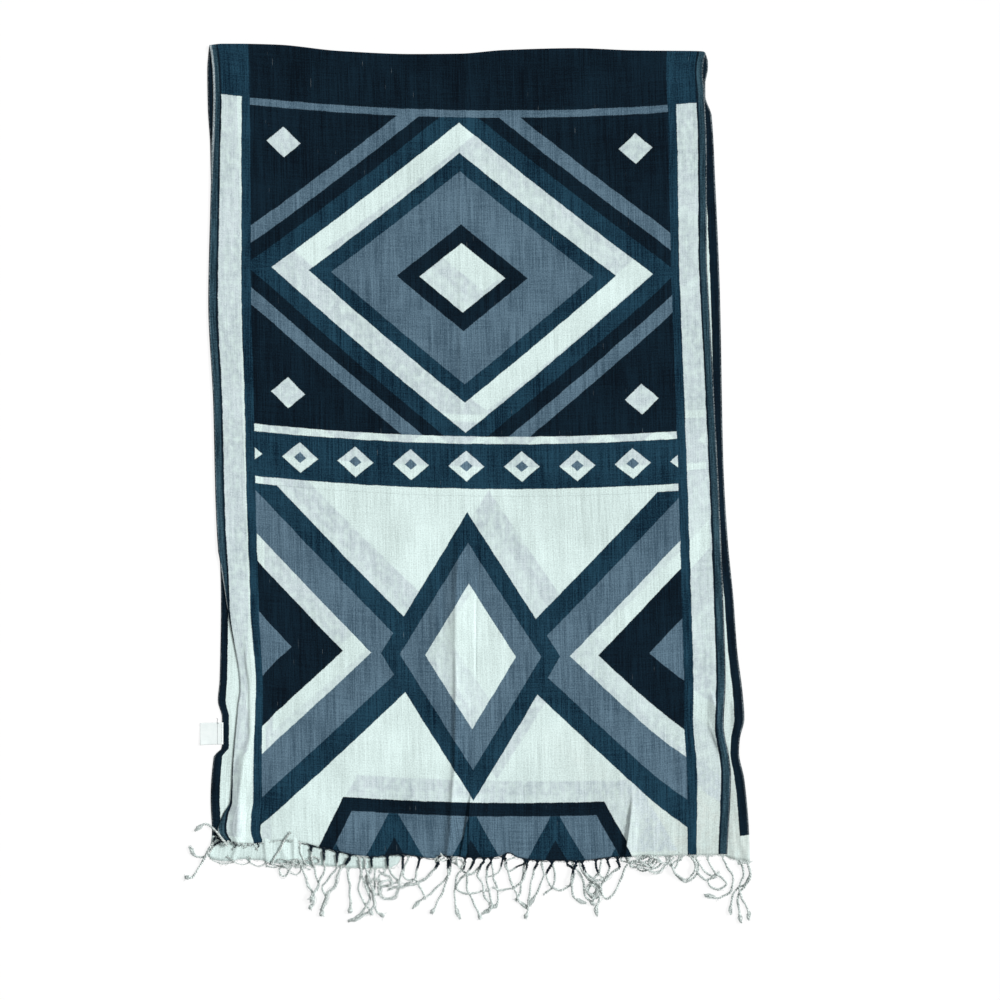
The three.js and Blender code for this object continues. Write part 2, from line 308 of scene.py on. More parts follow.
def weave(name, x, y, z, maps, material, thickness):
    """A sheet of threads, from the places where its mesh lines cross."""
    rows, columns = x.shape
    points = np.stack([x, y, z], axis=-1).reshape(-1, 3)
    index = np.arange(rows * columns).reshape(rows, columns)
    quads = np.stack([index[:-1, :-1], index[1:, :-1], index[1:, 1:], index[:-1, 1:]], axis=-1)
    flat = {key: np.stack(places, axis=-1).reshape(-1, 2) for key, places in maps.items()}
    mesh = new_mesh(name, points, quads.reshape(-1, 4).tolist(), flat)
    mesh.materials.append(material)
    piece = link_piece(name, mesh)
    wall = piece.modifiers.new("cloth", "SOLIDIFY")
    wall.thickness = thickness * MM
    wall.offset = 0.0
    wall.use_rim = True
    return piece


class Reading:
    """A number that changes over the cloth, worked out by nodes."""

    def __init__(self, tree, socket):
        self.tree = tree
        self.socket = socket

    def work(self, operation, *others, clamp=False):
        node = self.tree.nodes.new("ShaderNodeMath")
        node.operation = operation
        node.use_clamp = clamp
        for place, value in enumerate((self, *others)):
            if isinstance(value, Reading):
                self.tree.links.new(value.socket, node.inputs[place])
            else:
                node.inputs[place].default_value = value
        return Reading(self.tree, node.outputs[0])

    def __add__(self, other):
        return self.work("ADD", other)

    def __sub__(self, other):
        return self.work("SUBTRACT", other)

    def __rsub__(self, other):
        return self.work("MULTIPLY_ADD", -1.0, other)

    def __mul__(self, other):
        return self.work("MULTIPLY", other)

    def __truediv__(self, other):
        return self.work("DIVIDE", other)

    def __abs__(self):
        return self.work("ABSOLUTE")

    def __and__(self, other):
        return self.work("MINIMUM", other)

    def __or__(self, other):
        return self.work("MAXIMUM", other)

    def above(self, limit, softness):
        """1 where the number is over the limit, and 0 where it is under it."""
        return ((self - limit) / softness + 0.5).work("ADD", 0.0, clamp=True)

    def below(self, limit, softness):
        return 1.0 - self.above(limit, softness)

    def between(self, low, high, softness):
        return self.above(low, softness) & self.below(high, softness)


def piece_map(tree, name):
    """The places of a map that the piece's mesh holds."""
    node = tree.nodes.new("ShaderNodeUVMap")
    node.uv_map = name
    return node.outputs["UV"]


def separate(tree, kind, source):
    """The three numbers of a place (XYZ) or of a colour (Color)."""
    node = tree.nodes.new("ShaderNodeSeparate" + kind)
    tree.links.new(source, node.inputs[0])
    return [Reading(tree, node.outputs[i]) for i in range(3)]


def place_in_mm(tree, place):
    """How far across and along a place of a map lies. The maps are in metres."""
    across, along, _ = separate(tree, "XYZ", place)
    return across * 1000.0, along * 1000.0


def mix_colours(tree, share, under, over):
    node = tree.nodes.new("ShaderNodeMix")
    node.data_type = "RGBA"
    node.clamp_factor = True
    # A mix node's sockets 0, 6 and 7 are its share and its two colours.
    for place, value in ((0, share), (6, under), (7, over)):
        source = value.socket if isinstance(value, Reading) else value
        if hasattr(source, "is_output"):
            tree.links.new(source, node.inputs[place])
        else:
            node.inputs[place].default_value = source
    return node.outputs[2]


def noise(tree, place, cell_across, cell_along, detail, seed):
    """Uneven tone with cells of a given size, as a reading round 0.5. Each has its own seed."""
    stretch = tree.nodes.new("ShaderNodeMapping")
    stretch.inputs["Scale"].default_value = (1.0 / (cell_across * MM), 1.0 / (cell_along * MM), 1.0)
    stretch.inputs["Location"].default_value = (seed * 7.3, seed * 3.1, 0.0)
    tree.links.new(place, stretch.inputs["Vector"])
    texture = tree.nodes.new("ShaderNodeTexNoise")
    texture.inputs["Scale"].default_value = 1.0
    texture.inputs["Detail"].default_value = detail
    texture.inputs["Roughness"].default_value = 0.55
    tree.links.new(stretch.outputs["Vector"], texture.inputs["Vector"])
    return Reading(tree, texture.outputs["Fac"])


def add_bump(tree, shader, height, full_height, strength):
    """Shade the surface as if it rose by a reading, of which 1 is the full height."""
    bump = tree.nodes.new("ShaderNodeBump")
    bump.inputs["Distance"].default_value = full_height * MM
    bump.inputs["Strength"].default_value = strength
    tree.links.new(height.socket, bump.inputs["Height"])
    tree.links.new(bump.outputs["Normal"], shader.inputs["Normal"])


# Inks of the print, each as one channel, and the bare cloth that has none.
BLACK, PETROL, GREY_BLUE, BARE = (1, 0, 0, 1), (0, 1, 0, 1), (0, 0, 1, 1), (0, 0, 0, 1)


def lozenge(across, along, centre, half_width, half_height):
    """How far inside a lozenge a place lies."""
    scale = 1.0 / math.sqrt(1.0 / half_width**2 + 1.0 / half_height**2)
    reach = across / half_width + abs(along - centre) / half_height
    return (1.0 - reach) * scale


def repeat_in(side, width):
    """How far a place lies from the middle of its own repeat, one of a row of even width."""
    half = width / 2.0
    return abs((side + half).work("FLOORED_MODULO", width) - half)


def make_print():
    """The block print: lozenges, a beaded band at the waist and striped borders."""
    group = bpy.data.node_groups.new("block_print", "ShaderNodeTree")
    group.interface.new_socket("Place", in_out="INPUT", socket_type="NodeSocketVector")
    group.interface.new_socket("Softness", in_out="INPUT", socket_type="NodeSocketFloat")
    group.interface.new_socket("Inks", in_out="OUTPUT", socket_type="NodeSocketColor")
    entry = group.nodes.new("NodeGroupInput")
    leave = group.nodes.new("NodeGroupOutput")
    soft = Reading(group, entry.outputs["Softness"])
    place = entry.outputs["Place"]

    # The edges of the blocks are a little ragged.
    ragged = []
    for seed in (1.0, 2.0):
        fine = noise(group, place, 1.3, 1.3, 1.0, seed) - 0.5
        slow = noise(group, place, 16.0, 16.0, 1.0, seed + 5.0) - 0.5
        ragged.append(fine * 1.3 + slow * 1.6)
    side, along = place_in_mm(group, place)
    side = side + ragged[0]
    along = along + ragged[1]
    across = abs(side)

    inks = [BARE]

    def lay(ink, *areas):
        """Print one ink over the last, where all the areas overlap."""
        area = areas[0]
        for other in areas[1:]:
            area = area & other
        inks[0] = mix_colours(group, area, inks[0], ink)

    def lay_nested(ground, figure, *steps):
        """Print a figure's inks one inside another, each from its own depth in the figure."""
        for ink, depth in steps:
            lay(ink, ground, figure.above(depth, soft))

    # Places along the half, from the fold.
    fold_band = 42.0
    waist_start, waist_end = 404.0, 470.0
    foot_start = 810.0
    print_end = 890.0
    # Places across the half, from its middle.
    border, stripe, edge_line = 236.0, 246.0, 270.0

    upper_ground = along.below(waist_end, soft)
    lower_ground = along.above(waist_end, soft)

    great = lozenge(across, along, centre=228.0, half_width=214.0, half_height=172.0)
    lay(BLACK, upper_ground)
    lay(GREY_BLUE, upper_ground, great.between(-48.0, -33.0, soft))
    lay_nested(
        upper_ground, great,
        (PETROL, -18), (BARE, 0), (PETROL, 26), (GREY_BLUE, 42), (BLACK, 88), (BARE, 104),
    )
    for centre in (88.0, 366.0):
        corner = lozenge(abs(across - 198.0), along, centre, half_width=19.0, half_height=17.0)
        lay(BARE, corner.above(0.0, soft))

    lay(BARE, along.between(waist_start, waist_end, soft))
    lay(PETROL, along.between(waist_start + 8.0, waist_end - 8.0, soft))
    bead = lozenge(repeat_in(side, 62.0), along, centre=437.0, half_width=20.0, half_height=17.0)
    lay(BARE, bead.above(0.0, soft))
    lay(GREY_BLUE, bead.above(8.3, soft))

    side_lozenge = lozenge(
        abs(across - 238.0), along, centre=648.0, half_width=176.0, half_height=172.0,
    )
    lay_nested(
        lower_ground, side_lozenge,
        (PETROL, -22), (GREY_BLUE, 0), (BARE, 34), (BLACK, 56), (GREY_BLUE, 96),
    )
    middle = lozenge(across, along, centre=648.0, half_width=100.0, half_height=160.0)
    lay_nested(lower_ground, middle, (PETROL, 0), (GREY_BLUE, 18), (BARE, 42))

    foot_end = (across * -1.0 + along * 0.5) * 0.9 - 234.0
    foot = (along - foot_start) & foot_end
    foot_ground = foot.above(15.0, soft)
    lay(BLACK, foot.above(0.0, soft))
    lay(GREY_BLUE, foot_ground)
    tall = lozenge(repeat_in(side, 90.0), along, centre=882.0, half_width=36.0, half_height=66.0)
    lay_nested(foot_ground, tall, (PETROL, 0), (BLACK, 17))

    lay(BLACK, along.below(fold_band, soft))
    lay(GREY_BLUE, along.between(fold_band, fold_band + 8.0, soft))
    lay(PETROL, across.above(border, soft))
    lay(BARE, across.between(stripe, edge_line, soft), along.above(fold_band, soft))
    lay(BLACK, across.above(edge_line, soft))
    lay(BARE, along.above(print_end, soft))
    group.links.new(inks[0], leave.inputs["Inks"])
    return group


# The dark and the light end of each shade, in steps of 0 to 255.
SHADES = {
    "black": ((1, 12, 23), (14, 36, 50)),
    "petrol": ((2, 26, 42), (34, 70, 89)),
    "grey_blue": ((59, 82, 98), (102, 128, 145)),
    "bare": ((190, 207, 204), (233, 253, 250)),
    "seen_through": ((158, 174, 179), (216, 230, 233)),
    # the bare cloth's darker tone, in blotches, at the right end of the hem
    "darker_hem_end": ((176, 188, 184), (219, 231, 226)),
    "selvedge": ((20, 44, 56), (66, 98, 112)),
    "pale_thread": ((140, 156, 163), (200, 212, 214)),
}


def shade_pair(tree, name, share):
    dark, light = SHADES[name]
    return mix_colours(tree, share, from_srgb(*dark), from_srgb(*light))


def read_inks(tree, place, print_group, softness):
    """How much black, petrol and grey-blue the print lays at a place."""
    node = tree.nodes.new("ShaderNodeGroup")
    node.node_tree = print_group
    node.inputs["Softness"].default_value = softness
    tree.links.new(place, node.inputs["Place"])
    return separate(tree, "Color", node.outputs["Inks"])


def cloth_material(name, print_group, lies_over):
    """Loose plain weave with its print, and the layer beneath seen faintly through it."""
    material, tree, shader = new_material(name, {
        "Specular IOR Level": 0.06,
        "Sheen Weight": 0.02,
        "Sheen Roughness": 0.6,
    })
    place = piece_map(tree, "cloth")
    side, along = place_in_mm(tree, place)
    across = abs(side)

    # Uneven threads both ways, and patches, specks and slubs of thin ink.
    warp = noise(tree, place, 1.3, 46.0, 3.0, 1.0) - 0.5
    warp_wide = noise(tree, place, 7.0, 150.0, 2.0, 2.0) - 0.5
    weft = noise(tree, place, 34.0, 1.4, 2.0, 3.0) - 0.5
    patch = noise(tree, place, 60.0, 80.0, 3.0, 4.0) - 0.5
    speck = noise(tree, place, 1.5, 1.5, 1.0, 5.0) - 0.5
    mottle = noise(tree, place, 6.0, 9.0, 3.0, 7.0) - 0.5
    slub = noise(tree, place, 0.9, 24.0, 1.0, 6.0).above(0.8, 0.05)
    streak = warp * 2.1 + warp_wide * 0.9 + weft + patch * 1.2 + speck * 1.6 + 0.5
    soft_streak = warp * 1.35 + warp_wide * 0.6 + weft * 0.45 + patch + speck * 1.4 + 0.56

    black, petrol, grey_blue = read_inks(tree, place, print_group, softness=0.7)
    dark_inks = black + petrol
    all_inks = dark_inks + grey_blue

    # The bare cloth is a little darker at the right end of the hem. The upper half's shows the
    # print that lies beneath it.
    bare = shade_pair(tree, "bare", soft_streak)
    # Darker bare cloth towards the right end of the hem, in blotches.
    darker_hem_end = side.above(150.0, 190.0) & along.above(790.0, 160.0)
    darker_hem_end = darker_hem_end * (patch * 2.4 + mottle * 1.6 + 0.8)
    bare = mix_colours(tree, darker_hem_end, bare, shade_pair(tree, "darker_hem_end", soft_streak))
    if lies_over:
        beneath = read_inks(tree, piece_map(tree, "beneath"), print_group, softness=2.2)
        beneath_dark = beneath[0] + beneath[1] + beneath[2] * 0.6
        seen = beneath_dark * (patch * 1.6 + mottle * 3.2 + warp * 0.9 + speck * 1.5 + 0.76)
        bare = mix_colours(tree, seen, bare, shade_pair(tree, "seen_through", soft_streak))

    near_none = 0.001
    petrol_share = petrol / (dark_inks + near_none)
    grey_share = grey_blue / (all_inks + near_none)
    colour = shade_pair(tree, "black", streak)
    colour = mix_colours(tree, petrol_share, colour, shade_pair(tree, "petrol", streak))
    colour = mix_colours(tree, grey_share, colour, shade_pair(tree, "grey_blue", streak))
    if lies_over:
        selvedge = across.between(272.2, 278.9, 0.8) * (speck * 0.5 + warp * 0.9 + 0.72)
        colour = mix_colours(tree, selvedge, colour, shade_pair(tree, "selvedge", streak))
    pale_thread = shade_pair(tree, "pale_thread", soft_streak)
    colour = mix_colours(tree, slub * 0.32, colour, pale_thread)
    colour = mix_colours(tree, 1.0 - all_inks, colour, bare)

    # The last warp thread is pale. The upper half's left one is worn near the fold and the hem,
    # and a pale line runs for a short way along the bend where the edge starts to turn under.
    last_place = across
    last_tone = speck * 1.4 + warp * 0.8
    if lies_over:
        worn = side.below(0.0, 1.0) * (along.below(130.0, 60.0) | along.above(856.0, 14.0))
        last_place = across + worn * 1.3
        last_tone = last_tone + worn * 0.5
    last_thread = last_place.above(278.6, 1.0) * (last_tone + 0.2)
    if lies_over:
        # A pale line along the bend where the left edge starts to turn under.
        pale_turn_line = abs((along - 568.0) * -0.112 + side + 278.2).below(1.1, 0.6)
        pale_turn_line = pale_turn_line & along.between(566.0, 612.0, 6.0)
        last_thread = last_thread | pale_turn_line * (speck * 2.0 + 1.0)
    colour = mix_colours(tree, last_thread, colour, pale_thread)
    tree.links.new(colour, shader.inputs["Base Color"])
    tree.links.new((speck * 0.2 + 0.88).socket, shader.inputs["Roughness"])

    # Soft crumples, the threads themselves, and fine gathers above the hem.
    crumple = noise(tree, place, 22.0, 34.0, 3.0, 8.0) * 1.1
    thread_across = noise(tree, place, 0.55, 9.0, 1.0, 9.0) * 0.16
    thread_along = noise(tree, place, 9.0, 0.55, 1.0, 10.0) * 0.09
    gathers = noise(tree, place, 4.6, 110.0, 1.0, 13.0) * along.above(840.0, 110.0)
    height = crumple + thread_across + thread_along + gathers
    add_bump(tree, shader, height, full_height=1.0, strength=0.6)
    return material


block_print = make_print()
PRINT_SHIFT = 12.0  # the scarf is folded a little off the middle of its print
PRINT_TOP = {"left": 490.0, "right": 480.0, "sag": 14.0, "pull": 11.0}


def print_along(across, y):
    """How far down its half the print is at a place. The print starts a little nearer the hem
    at the right, sags between the selvedges, and is pulled up at the right end of the hem."""
    top = blend(PRINT_TOP["left"], PRINT_TOP["right"], across)
    sag = PRINT_TOP["sag"] * (1.0 - (2.0 * across - 1.0) ** 2)
    pull = PRINT_TOP["pull"] * ease(0.84, 1.0, across) * ease(-110.0, -300.0, y)
    return top - sag + pull - y


def make_lower_cloth():
    sides = thread_lines(
        (-HALF_WIDTH, -258, 2), (-258, -182, 1.3), (-182, 240, 7), (240, HALF_WIDTH, 2),
    )
    lengths = thread_lines((0, 640, 6), (640, 760, 3), (760, HALF_LENGTH, 4))
    side, length = np.meshgrid(sides, lengths)
    across = (side + HALF_WIDTH) / (2.0 * HALF_WIDTH)
    down = length / HALF_LENGTH
    x, y = lay_half(LOWER_LEFT, LOWER_RIGHT, LOWER_HEM, across, down)
    z = LOWER_HEIGHT + LOWER_RIPPLE * (swell(x, y) + 0.5) * ease(4.0, 20.0, length)
    z = z + crease_height(LOWER_CREASES_DOWN, x, y)
    maps = {"cloth": (side, print_along(across, y) + PRINT_SHIFT)}
    material = cloth_material("printed_weave_lower", block_print, lies_over=False)
    return weave("lower_cloth", x, y, z, maps, material, CLOTH_THICK)


lower_cloth = make_lower_cloth()
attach(lower_cloth, "root")
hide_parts("lower_half")


# The upper half turns over at the fold and lies on the lower one, printed side up. Part of
# its left selvedge is turned under, and a few creases and hem pleats stay in it.
UPPER_HEIGHT = 1.25
UPPER_RIPPLE = 0.35
TURN_RADIUS = 0.55  # of the bend where the left edge turns under
STRIP_HEIGHT = 0.95  # of the turned-under strip
FOLD_SETTLE = 18.0  # how far past the fold the cloth has mostly come down
HEM_DROOP = 0.3
UPPER_LEFT = [
    (490, -285), (478, -283), (458, -281.2), (430, -280.5), (400, -281.2), (372, -282.4),
    (320, -283.5), (205, -286), (90, -280.5), (-15, -278), (-65, -275.5), (-95, -271),
    (-145, -263), (-225, -250.5), (-245, -253), (-310, -259), (-350, -261.5), (-365, -270),
    (-385, -276), (-393, -270),
]
UPPER_RIGHT = [
    (480, 266), (470, 263.6), (458, 262.8), (440, 264.2), (370, 267), (260, 267), (205, 269.5),
    (95, 275.5), (-15, 281), (-127, 285.5), (-215, 288), (-265, 286), (-304, 292.5),
    (-320, 294), (-409, 290),
]
UPPER_HEM = [
    (-270, -393), (-241, -397), (-203, -393), (-159, -401.5), (-107, -411.5), (-73, -409),
    (-35, -413.5), (-27, -409.5), (-12, -411), (27, -412.5), (37, -411.5), (48, -407), (59, -412.5),
    (74, -415), (123, -416), (168, -411.5), (290, -409),
]
# How much of the left selvedge is turned under, down the length. Rows hold y and the width.
TURNED_UNDER = [
    (-70, 0), (-90, 1.6), (-115, 4.4), (-140, 7.2), (-165, 8), (-240, 8), (-300, 8.4), (-345, 7.6),
    (-372, 3), (-386, 0),
]
UPPER_CREASES_DOWN = [
    crease((477, -7), (100, -6), (-70, -8), left=2.5, right=6, rise=0.55, pressed=True),
    crease((-78, -34), (-120, -33), (-178, -31), left=10, right=6, rise=1.0),
    crease((-52, -8), (-82, -9), (-110, -10.6), (-143, -11.7), (-171, -12), (-210, -11.6), left=6.5,
        right=17, rise=4.2, pressed=True, start=0.18),
    hem_pleat((-150, -11.8), (-237, -11.5), (-282, -12.2), (-310, -12.8), (-332, -14.5),
        (-348, -16.1), (-368, -18.5), (-388, -21.7), (-420, -26), left=3.0, right=9, rise=3.2,
        start=0.12),
    crease((-52, 15.5), (-99, 13.3), (-126, 11.4), (-171, 10.8), (-240, 10.5), left=0.9, right=1.1,
        rise=-0.75, pressed=True, start=0.06),
    hem_pleat((-346, 3), (-360, 1), (-373, -0.6), (-391, -3.9), (-407, -6.4), (-426, -7.8),
        left=1.6, right=5, rise=1.7),
    hem_pleat((-326, 5), (-344, 4.6), (-362, 3.6), (-407, 3.4), (-424, 3.4), left=1.6, right=9,
        rise=1.6),
    hem_pleat((-338, 186), (-362, 182.5), (-380, 180.9), (-407, 177.6), (-422, 176.5), left=1.2,
        right=7, rise=2.6),
    crease((-352, 203), (-426, 206), left=3, right=6, rise=0.7, to_hem=True),
    crease((-362, 226), (-426, 229), left=6, right=4, rise=0.6, to_hem=True),
    crease((-356, 246), (-426, 247), left=3, right=5, rise=0.7, to_hem=True),
    crease((-352, -196), (-424, -199), left=3, right=6, rise=0.5, to_hem=True),
    crease((-376, 60), (-424, 63), left=3, right=6, rise=0.7, to_hem=True),
    crease((-366, 118), (-424, 115), left=3, right=6, rise=0.8, to_hem=True),
    crease((-384, -66), (-424, -70), left=3, right=6, rise=0.6, to_hem=True),
    hem_pleat((-280, -233), (-420, -233), left=0.9, right=2.0, rise=-0.4),
    crease((-160, -246), (-190, -244), (-226, -239.2), (-275, -239.2), (-301, -245.4), (-326, -249),
        (-345, -251.5), left=2.8, right=22, rise=1.6, pinch=True),
    crease((-255, -239), (-275, -239.2), (-301, -245.4), (-326, -249), (-350, -252), (-395, -253.8),
        (-420, -255), left=9.5, right=9, rise=3.4, pinch=True, to_hem=True, start=0.35),
    crease((-224, 269.5), (-235, 274), (-246, 277.3), (-262, 278), (-276, 279.5), (-290, 282),
        left=10, right=4, rise=4.0, pinch=True, start=0.35),
    crease((-250, 276), (-263, 278), (-276, 281.5), (-291, 285), (-310, 288.5), left=6.5, right=3,
        rise=2.6, pinch=True),
    crease((-256, 268), (-264, 270), (-276, 274.5), (-293, 281.5), (-304, 285), left=1.6, right=6,
        rise=2.3, pressed=True),
    crease((-272, 231.5), (-290, 230.5), (-320, 227.2), left=4, right=1.0, rise=-0.5, pressed=True),
]
UPPER_CREASES_ACROSS = [
    crease((-276, 76), (-176, 77), left=5, right=2.5, rise=0.7),
    crease((-102, 60), (-34, 60), left=2.5, right=5, rise=0.6),
    crease((-130, -228), (-66, -235), left=2.5, right=5, rise=0.7),
    crease((70, -247), (126, -250), left=2.5, right=5, rise=0.7),
    crease((176, -248), (214, -249), left=2.5, right=5, rise=0.6),
    crease((190, 465), (238, 464), left=2.5, right=4, rise=0.6),
    crease((186, 448), (244, 446), left=2.5, right=4, rise=0.6),
]
# Tucks in the hem, where the cloth is folded over itself by up to the depth.
TUCKS = [
    crease((-344, 3.2), (-360, 1), (-373, -0.6), (-391, -3.9), (-407, -6.4), (-426, -7.8),
        depth=1.5),
    crease((-330, 5), (-344, 4.6), (-362, 3.6), (-407, 3.4), (-424, 3.4), depth=1.2),
    crease((-350, 184.5), (-362, 182.5), (-380, 180.9), (-407, 177.6), (-422, 176.5), depth=0.9),
]
TUCK_LAYER = 0.56
TUCK_DRAW = 45.0  # how far off a tuck still draws the cloth in
FOLD_STEPS = 9  # mesh lines round the fold
SLIP = 22.0  # the halves' prints lie this far apart, so the lower one shows beside the upper


def find_on_lower(x, y, across, down):
    """The share across the lower half of the threads that lie at these places, found by
    starting from the upper half's own shares and closing in."""
    across, down = across.copy(), down.copy()
    for _ in range(4):
        there_x, there_y = lay_half(LOWER_LEFT, LOWER_RIGHT, LOWER_HEM, across, down)
        across += (x - there_x) / (2.0 * HALF_WIDTH)
        down -= (y - there_y) / HALF_LENGTH
    return across


def turned_width(y):
    start, end = TURNED_UNDER[0][0], TURNED_UNDER[-1][0]
    return np.where((y < start) & (y > end), follow(TURNED_UNDER, y), 0.0)


def upper_lie(x, y):
    """How high the upper half lies over its resting height, away from the fold. Beside the
    left edge it lies on the turned-under strip."""
    inside = x - follow(UPPER_LEFT, y)
    turned = turned_width(y)
    lift = STRIP_HEIGHT + 2.0 * TURN_RADIUS - UPPER_HEIGHT
    lift = lift * ease(-30.0, -85.0, y) * ease(-396.0, -370.0, y)
    lift = lift * (1.0 - ease(turned + 4.0, turned + 34.0, inside))
    folds = crease_height(UPPER_CREASES_DOWN, x, y) + crease_height(UPPER_CREASES_ACROSS, y, x)
    return lift + UPPER_RIPPLE * (swell(x, y) + 0.5) + folds


def fold_tucks(x, y):
    """Each tuck takes in cloth from both its sides: the right one lies over, and its edge shows."""
    lift = np.zeros_like(x)
    for tuck in TUCKS:
        share = (y - tuck["line"][0][0]) / (tuck["line"][-1][0] - tuck["line"][0][0])
        depth = tuck["depth"] * ease(0.0, 0.7, share) + 1e-6
        past = x - follow(tuck["line"], y)
        drawn_in = 2.0 * depth * np.exp(-np.maximum(np.abs(past) - depth, 0.0) / TUCK_DRAW)
        turning = np.abs(past) <= depth
        x = np.where(turning, x - 2.0 * past, x - np.sign(past) * drawn_in)
        layers = np.clip(1.0 + past / depth, 0.0, 2.0) * (1.0 - ease(4.0, 14.0, past))
        lift = lift + TUCK_LAYER * layers * ease(0.0, 0.5, depth)
    return x, lift


def make_upper_cloth():
    # The mesh lines are closer where a crease, a pleat or the turned-under edge needs them.
    sides = thread_lines(
        (-HALF_WIDTH, -256, 1), (-256, -230, 1.3), (-230, -50, 6), (-50, -36, 2.5), (-36, -14, 1),
        (-14, 8, 0.7), (8, 17, 1), (17, 168, 6), (168, 190, 0.9), (190, 220, 5),
        (220, 236, 1.5), (236, 256, 4), (256, HALF_WIDTH, 1.1),
    )
    flat_start = FOLD_RADIUS * math.pi / 2.0
    turns = np.linspace(-math.pi / 2.0, math.pi / 2.0, FOLD_STEPS)
    flat_lengths = thread_lines(
        (flat_start, 60, 3), (60, 405, 6), (405, 440, 3), (440, 695, 6), (695, 745, 3.2),
        (745, 835, 4.5), (835, HALF_LENGTH, 3),
    )[1:]
    lengths = np.concatenate([turns * FOLD_RADIUS, flat_lengths])
    side, length = np.meshgrid(sides, lengths)
    across = (side + HALF_WIDTH) / (2.0 * HALF_WIDTH)
    down = np.clip((length - flat_start) / (HALF_LENGTH - flat_start), 0.0, 1.0)

    # The turned part is taken off the outline first, to find where the flat cloth would lie.
    x, y = lay_half(UPPER_LEFT, UPPER_RIGHT, UPPER_HEM, across, down)
    edge = follow(UPPER_LEFT, y)
    turned = turned_width(y)
    from_left = np.clip(1.0 - across * 2.0 * HALF_WIDTH / EDGE_REACH, 0.0, 1.0)
    x = x - turned * from_left
    past_edge = edge + TURN_RADIUS - x
    round_turn = np.pi * TURN_RADIUS
    has_turn = turned > 0.4
    in_turn = has_turn & (past_edge > 0.0) & (past_edge < round_turn)
    on_strip = has_turn & (past_edge >= round_turn)

    # The first mesh lines go round the fold, and the next ones settle onto the lower half.
    fold_centre = LOWER_HEIGHT + FOLD_RADIUS
    past_fold = length - flat_start
    settle = (fold_centre + FOLD_RADIUS - UPPER_HEIGHT) * np.exp(-((past_fold / FOLD_SETTLE) ** 2))
    z = UPPER_HEIGHT + settle + upper_lie(x, y) * ease(1.0, 22.0, past_fold)
    z = z - HEM_DROOP * ease(HALF_LENGTH - 9.0, HALF_LENGTH, length)
    x, tuck_lift = fold_tucks(x, y)
    z = z + tuck_lift
    angle = length[:FOLD_STEPS] / FOLD_RADIUS
    z[:FOLD_STEPS] = fold_centre + FOLD_RADIUS * np.sin(angle)
    printed = print_along(across, y) - PRINT_SHIFT
    printed[:FOLD_STEPS] += length[:FOLD_STEPS] - flat_start
    y[:FOLD_STEPS] += FOLD_RADIUS * np.cos(angle)

    # What lies past the left edge goes round its bend, and back under as the strip.
    turn_angle = np.clip(past_edge / TURN_RADIUS, 0.0, np.pi)
    crown = STRIP_HEIGHT + 2.0 * TURN_RADIUS
    turned_x = edge + TURN_RADIUS * (1.0 - np.sin(turn_angle))
    turned_z = crown - TURN_RADIUS * (1.0 - np.cos(turn_angle))
    strip_x = edge + TURN_RADIUS + past_edge - round_turn
    flat_x = x
    x = np.where(in_turn, turned_x, x)
    z = np.where(in_turn, turned_z, z)
    x = np.where(on_strip, strip_x, x)
    z = np.where(on_strip, STRIP_HEIGHT + 0.1 * swell(x, y), z)

    # The second map holds which place of the print shows through from the layer beneath. By
    # the left edge that layer is the strip, with its own selvedge.
    under_across = find_on_lower(flat_x - SLIP, y, across, down)
    under_side = (under_across * 2.0 - 1.0) * HALF_WIDTH
    over_strip = has_turn & ~in_turn & ~on_strip & (x - edge < turned)
    under_side = np.where(over_strip, -HALF_WIDTH + 4.0, under_side)
    under_printed = print_along(under_across, y) + PRINT_SHIFT
    maps = {"cloth": (side, printed), "beneath": (under_side, under_printed)}
    material = cloth_material("printed_weave_upper", block_print, lies_over=True)
    return weave("upper_cloth", x, y, z, maps, material, CLOTH_THICK)


upper_cloth = make_upper_cloth()
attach(upper_cloth, "root")
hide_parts("upper_half", "fold_bend", "turned_selvedge")


# The lower half's fringe: its warp ends run on past the hem in small groups, each plied by
# hand into a thin soft cord. Some cords end in a knot, some are combed out, and they tangle.
PLY_RADIUS = 0.71
PLY_OFFSET = 0.68
TWIST_LENGTH = 5.2
CORD_STEP = 0.8
CORD_RADIUS = 1.22
STEEPEST = 0.5
HEM_GATHER = 4.0
FAN_THREADS = 11
KNOT_TURNS = 4.6
BRUSH_FIBRES = 24
FOOT_BAND = (-184.0, 166.0)  # the stretch of the hem that the print's dark foot reaches


def tassel(*route, **looks):
    """A cord: the places that it passes, from its hem on, and how it differs from a plain one."""
    return {"route": route, **looks}


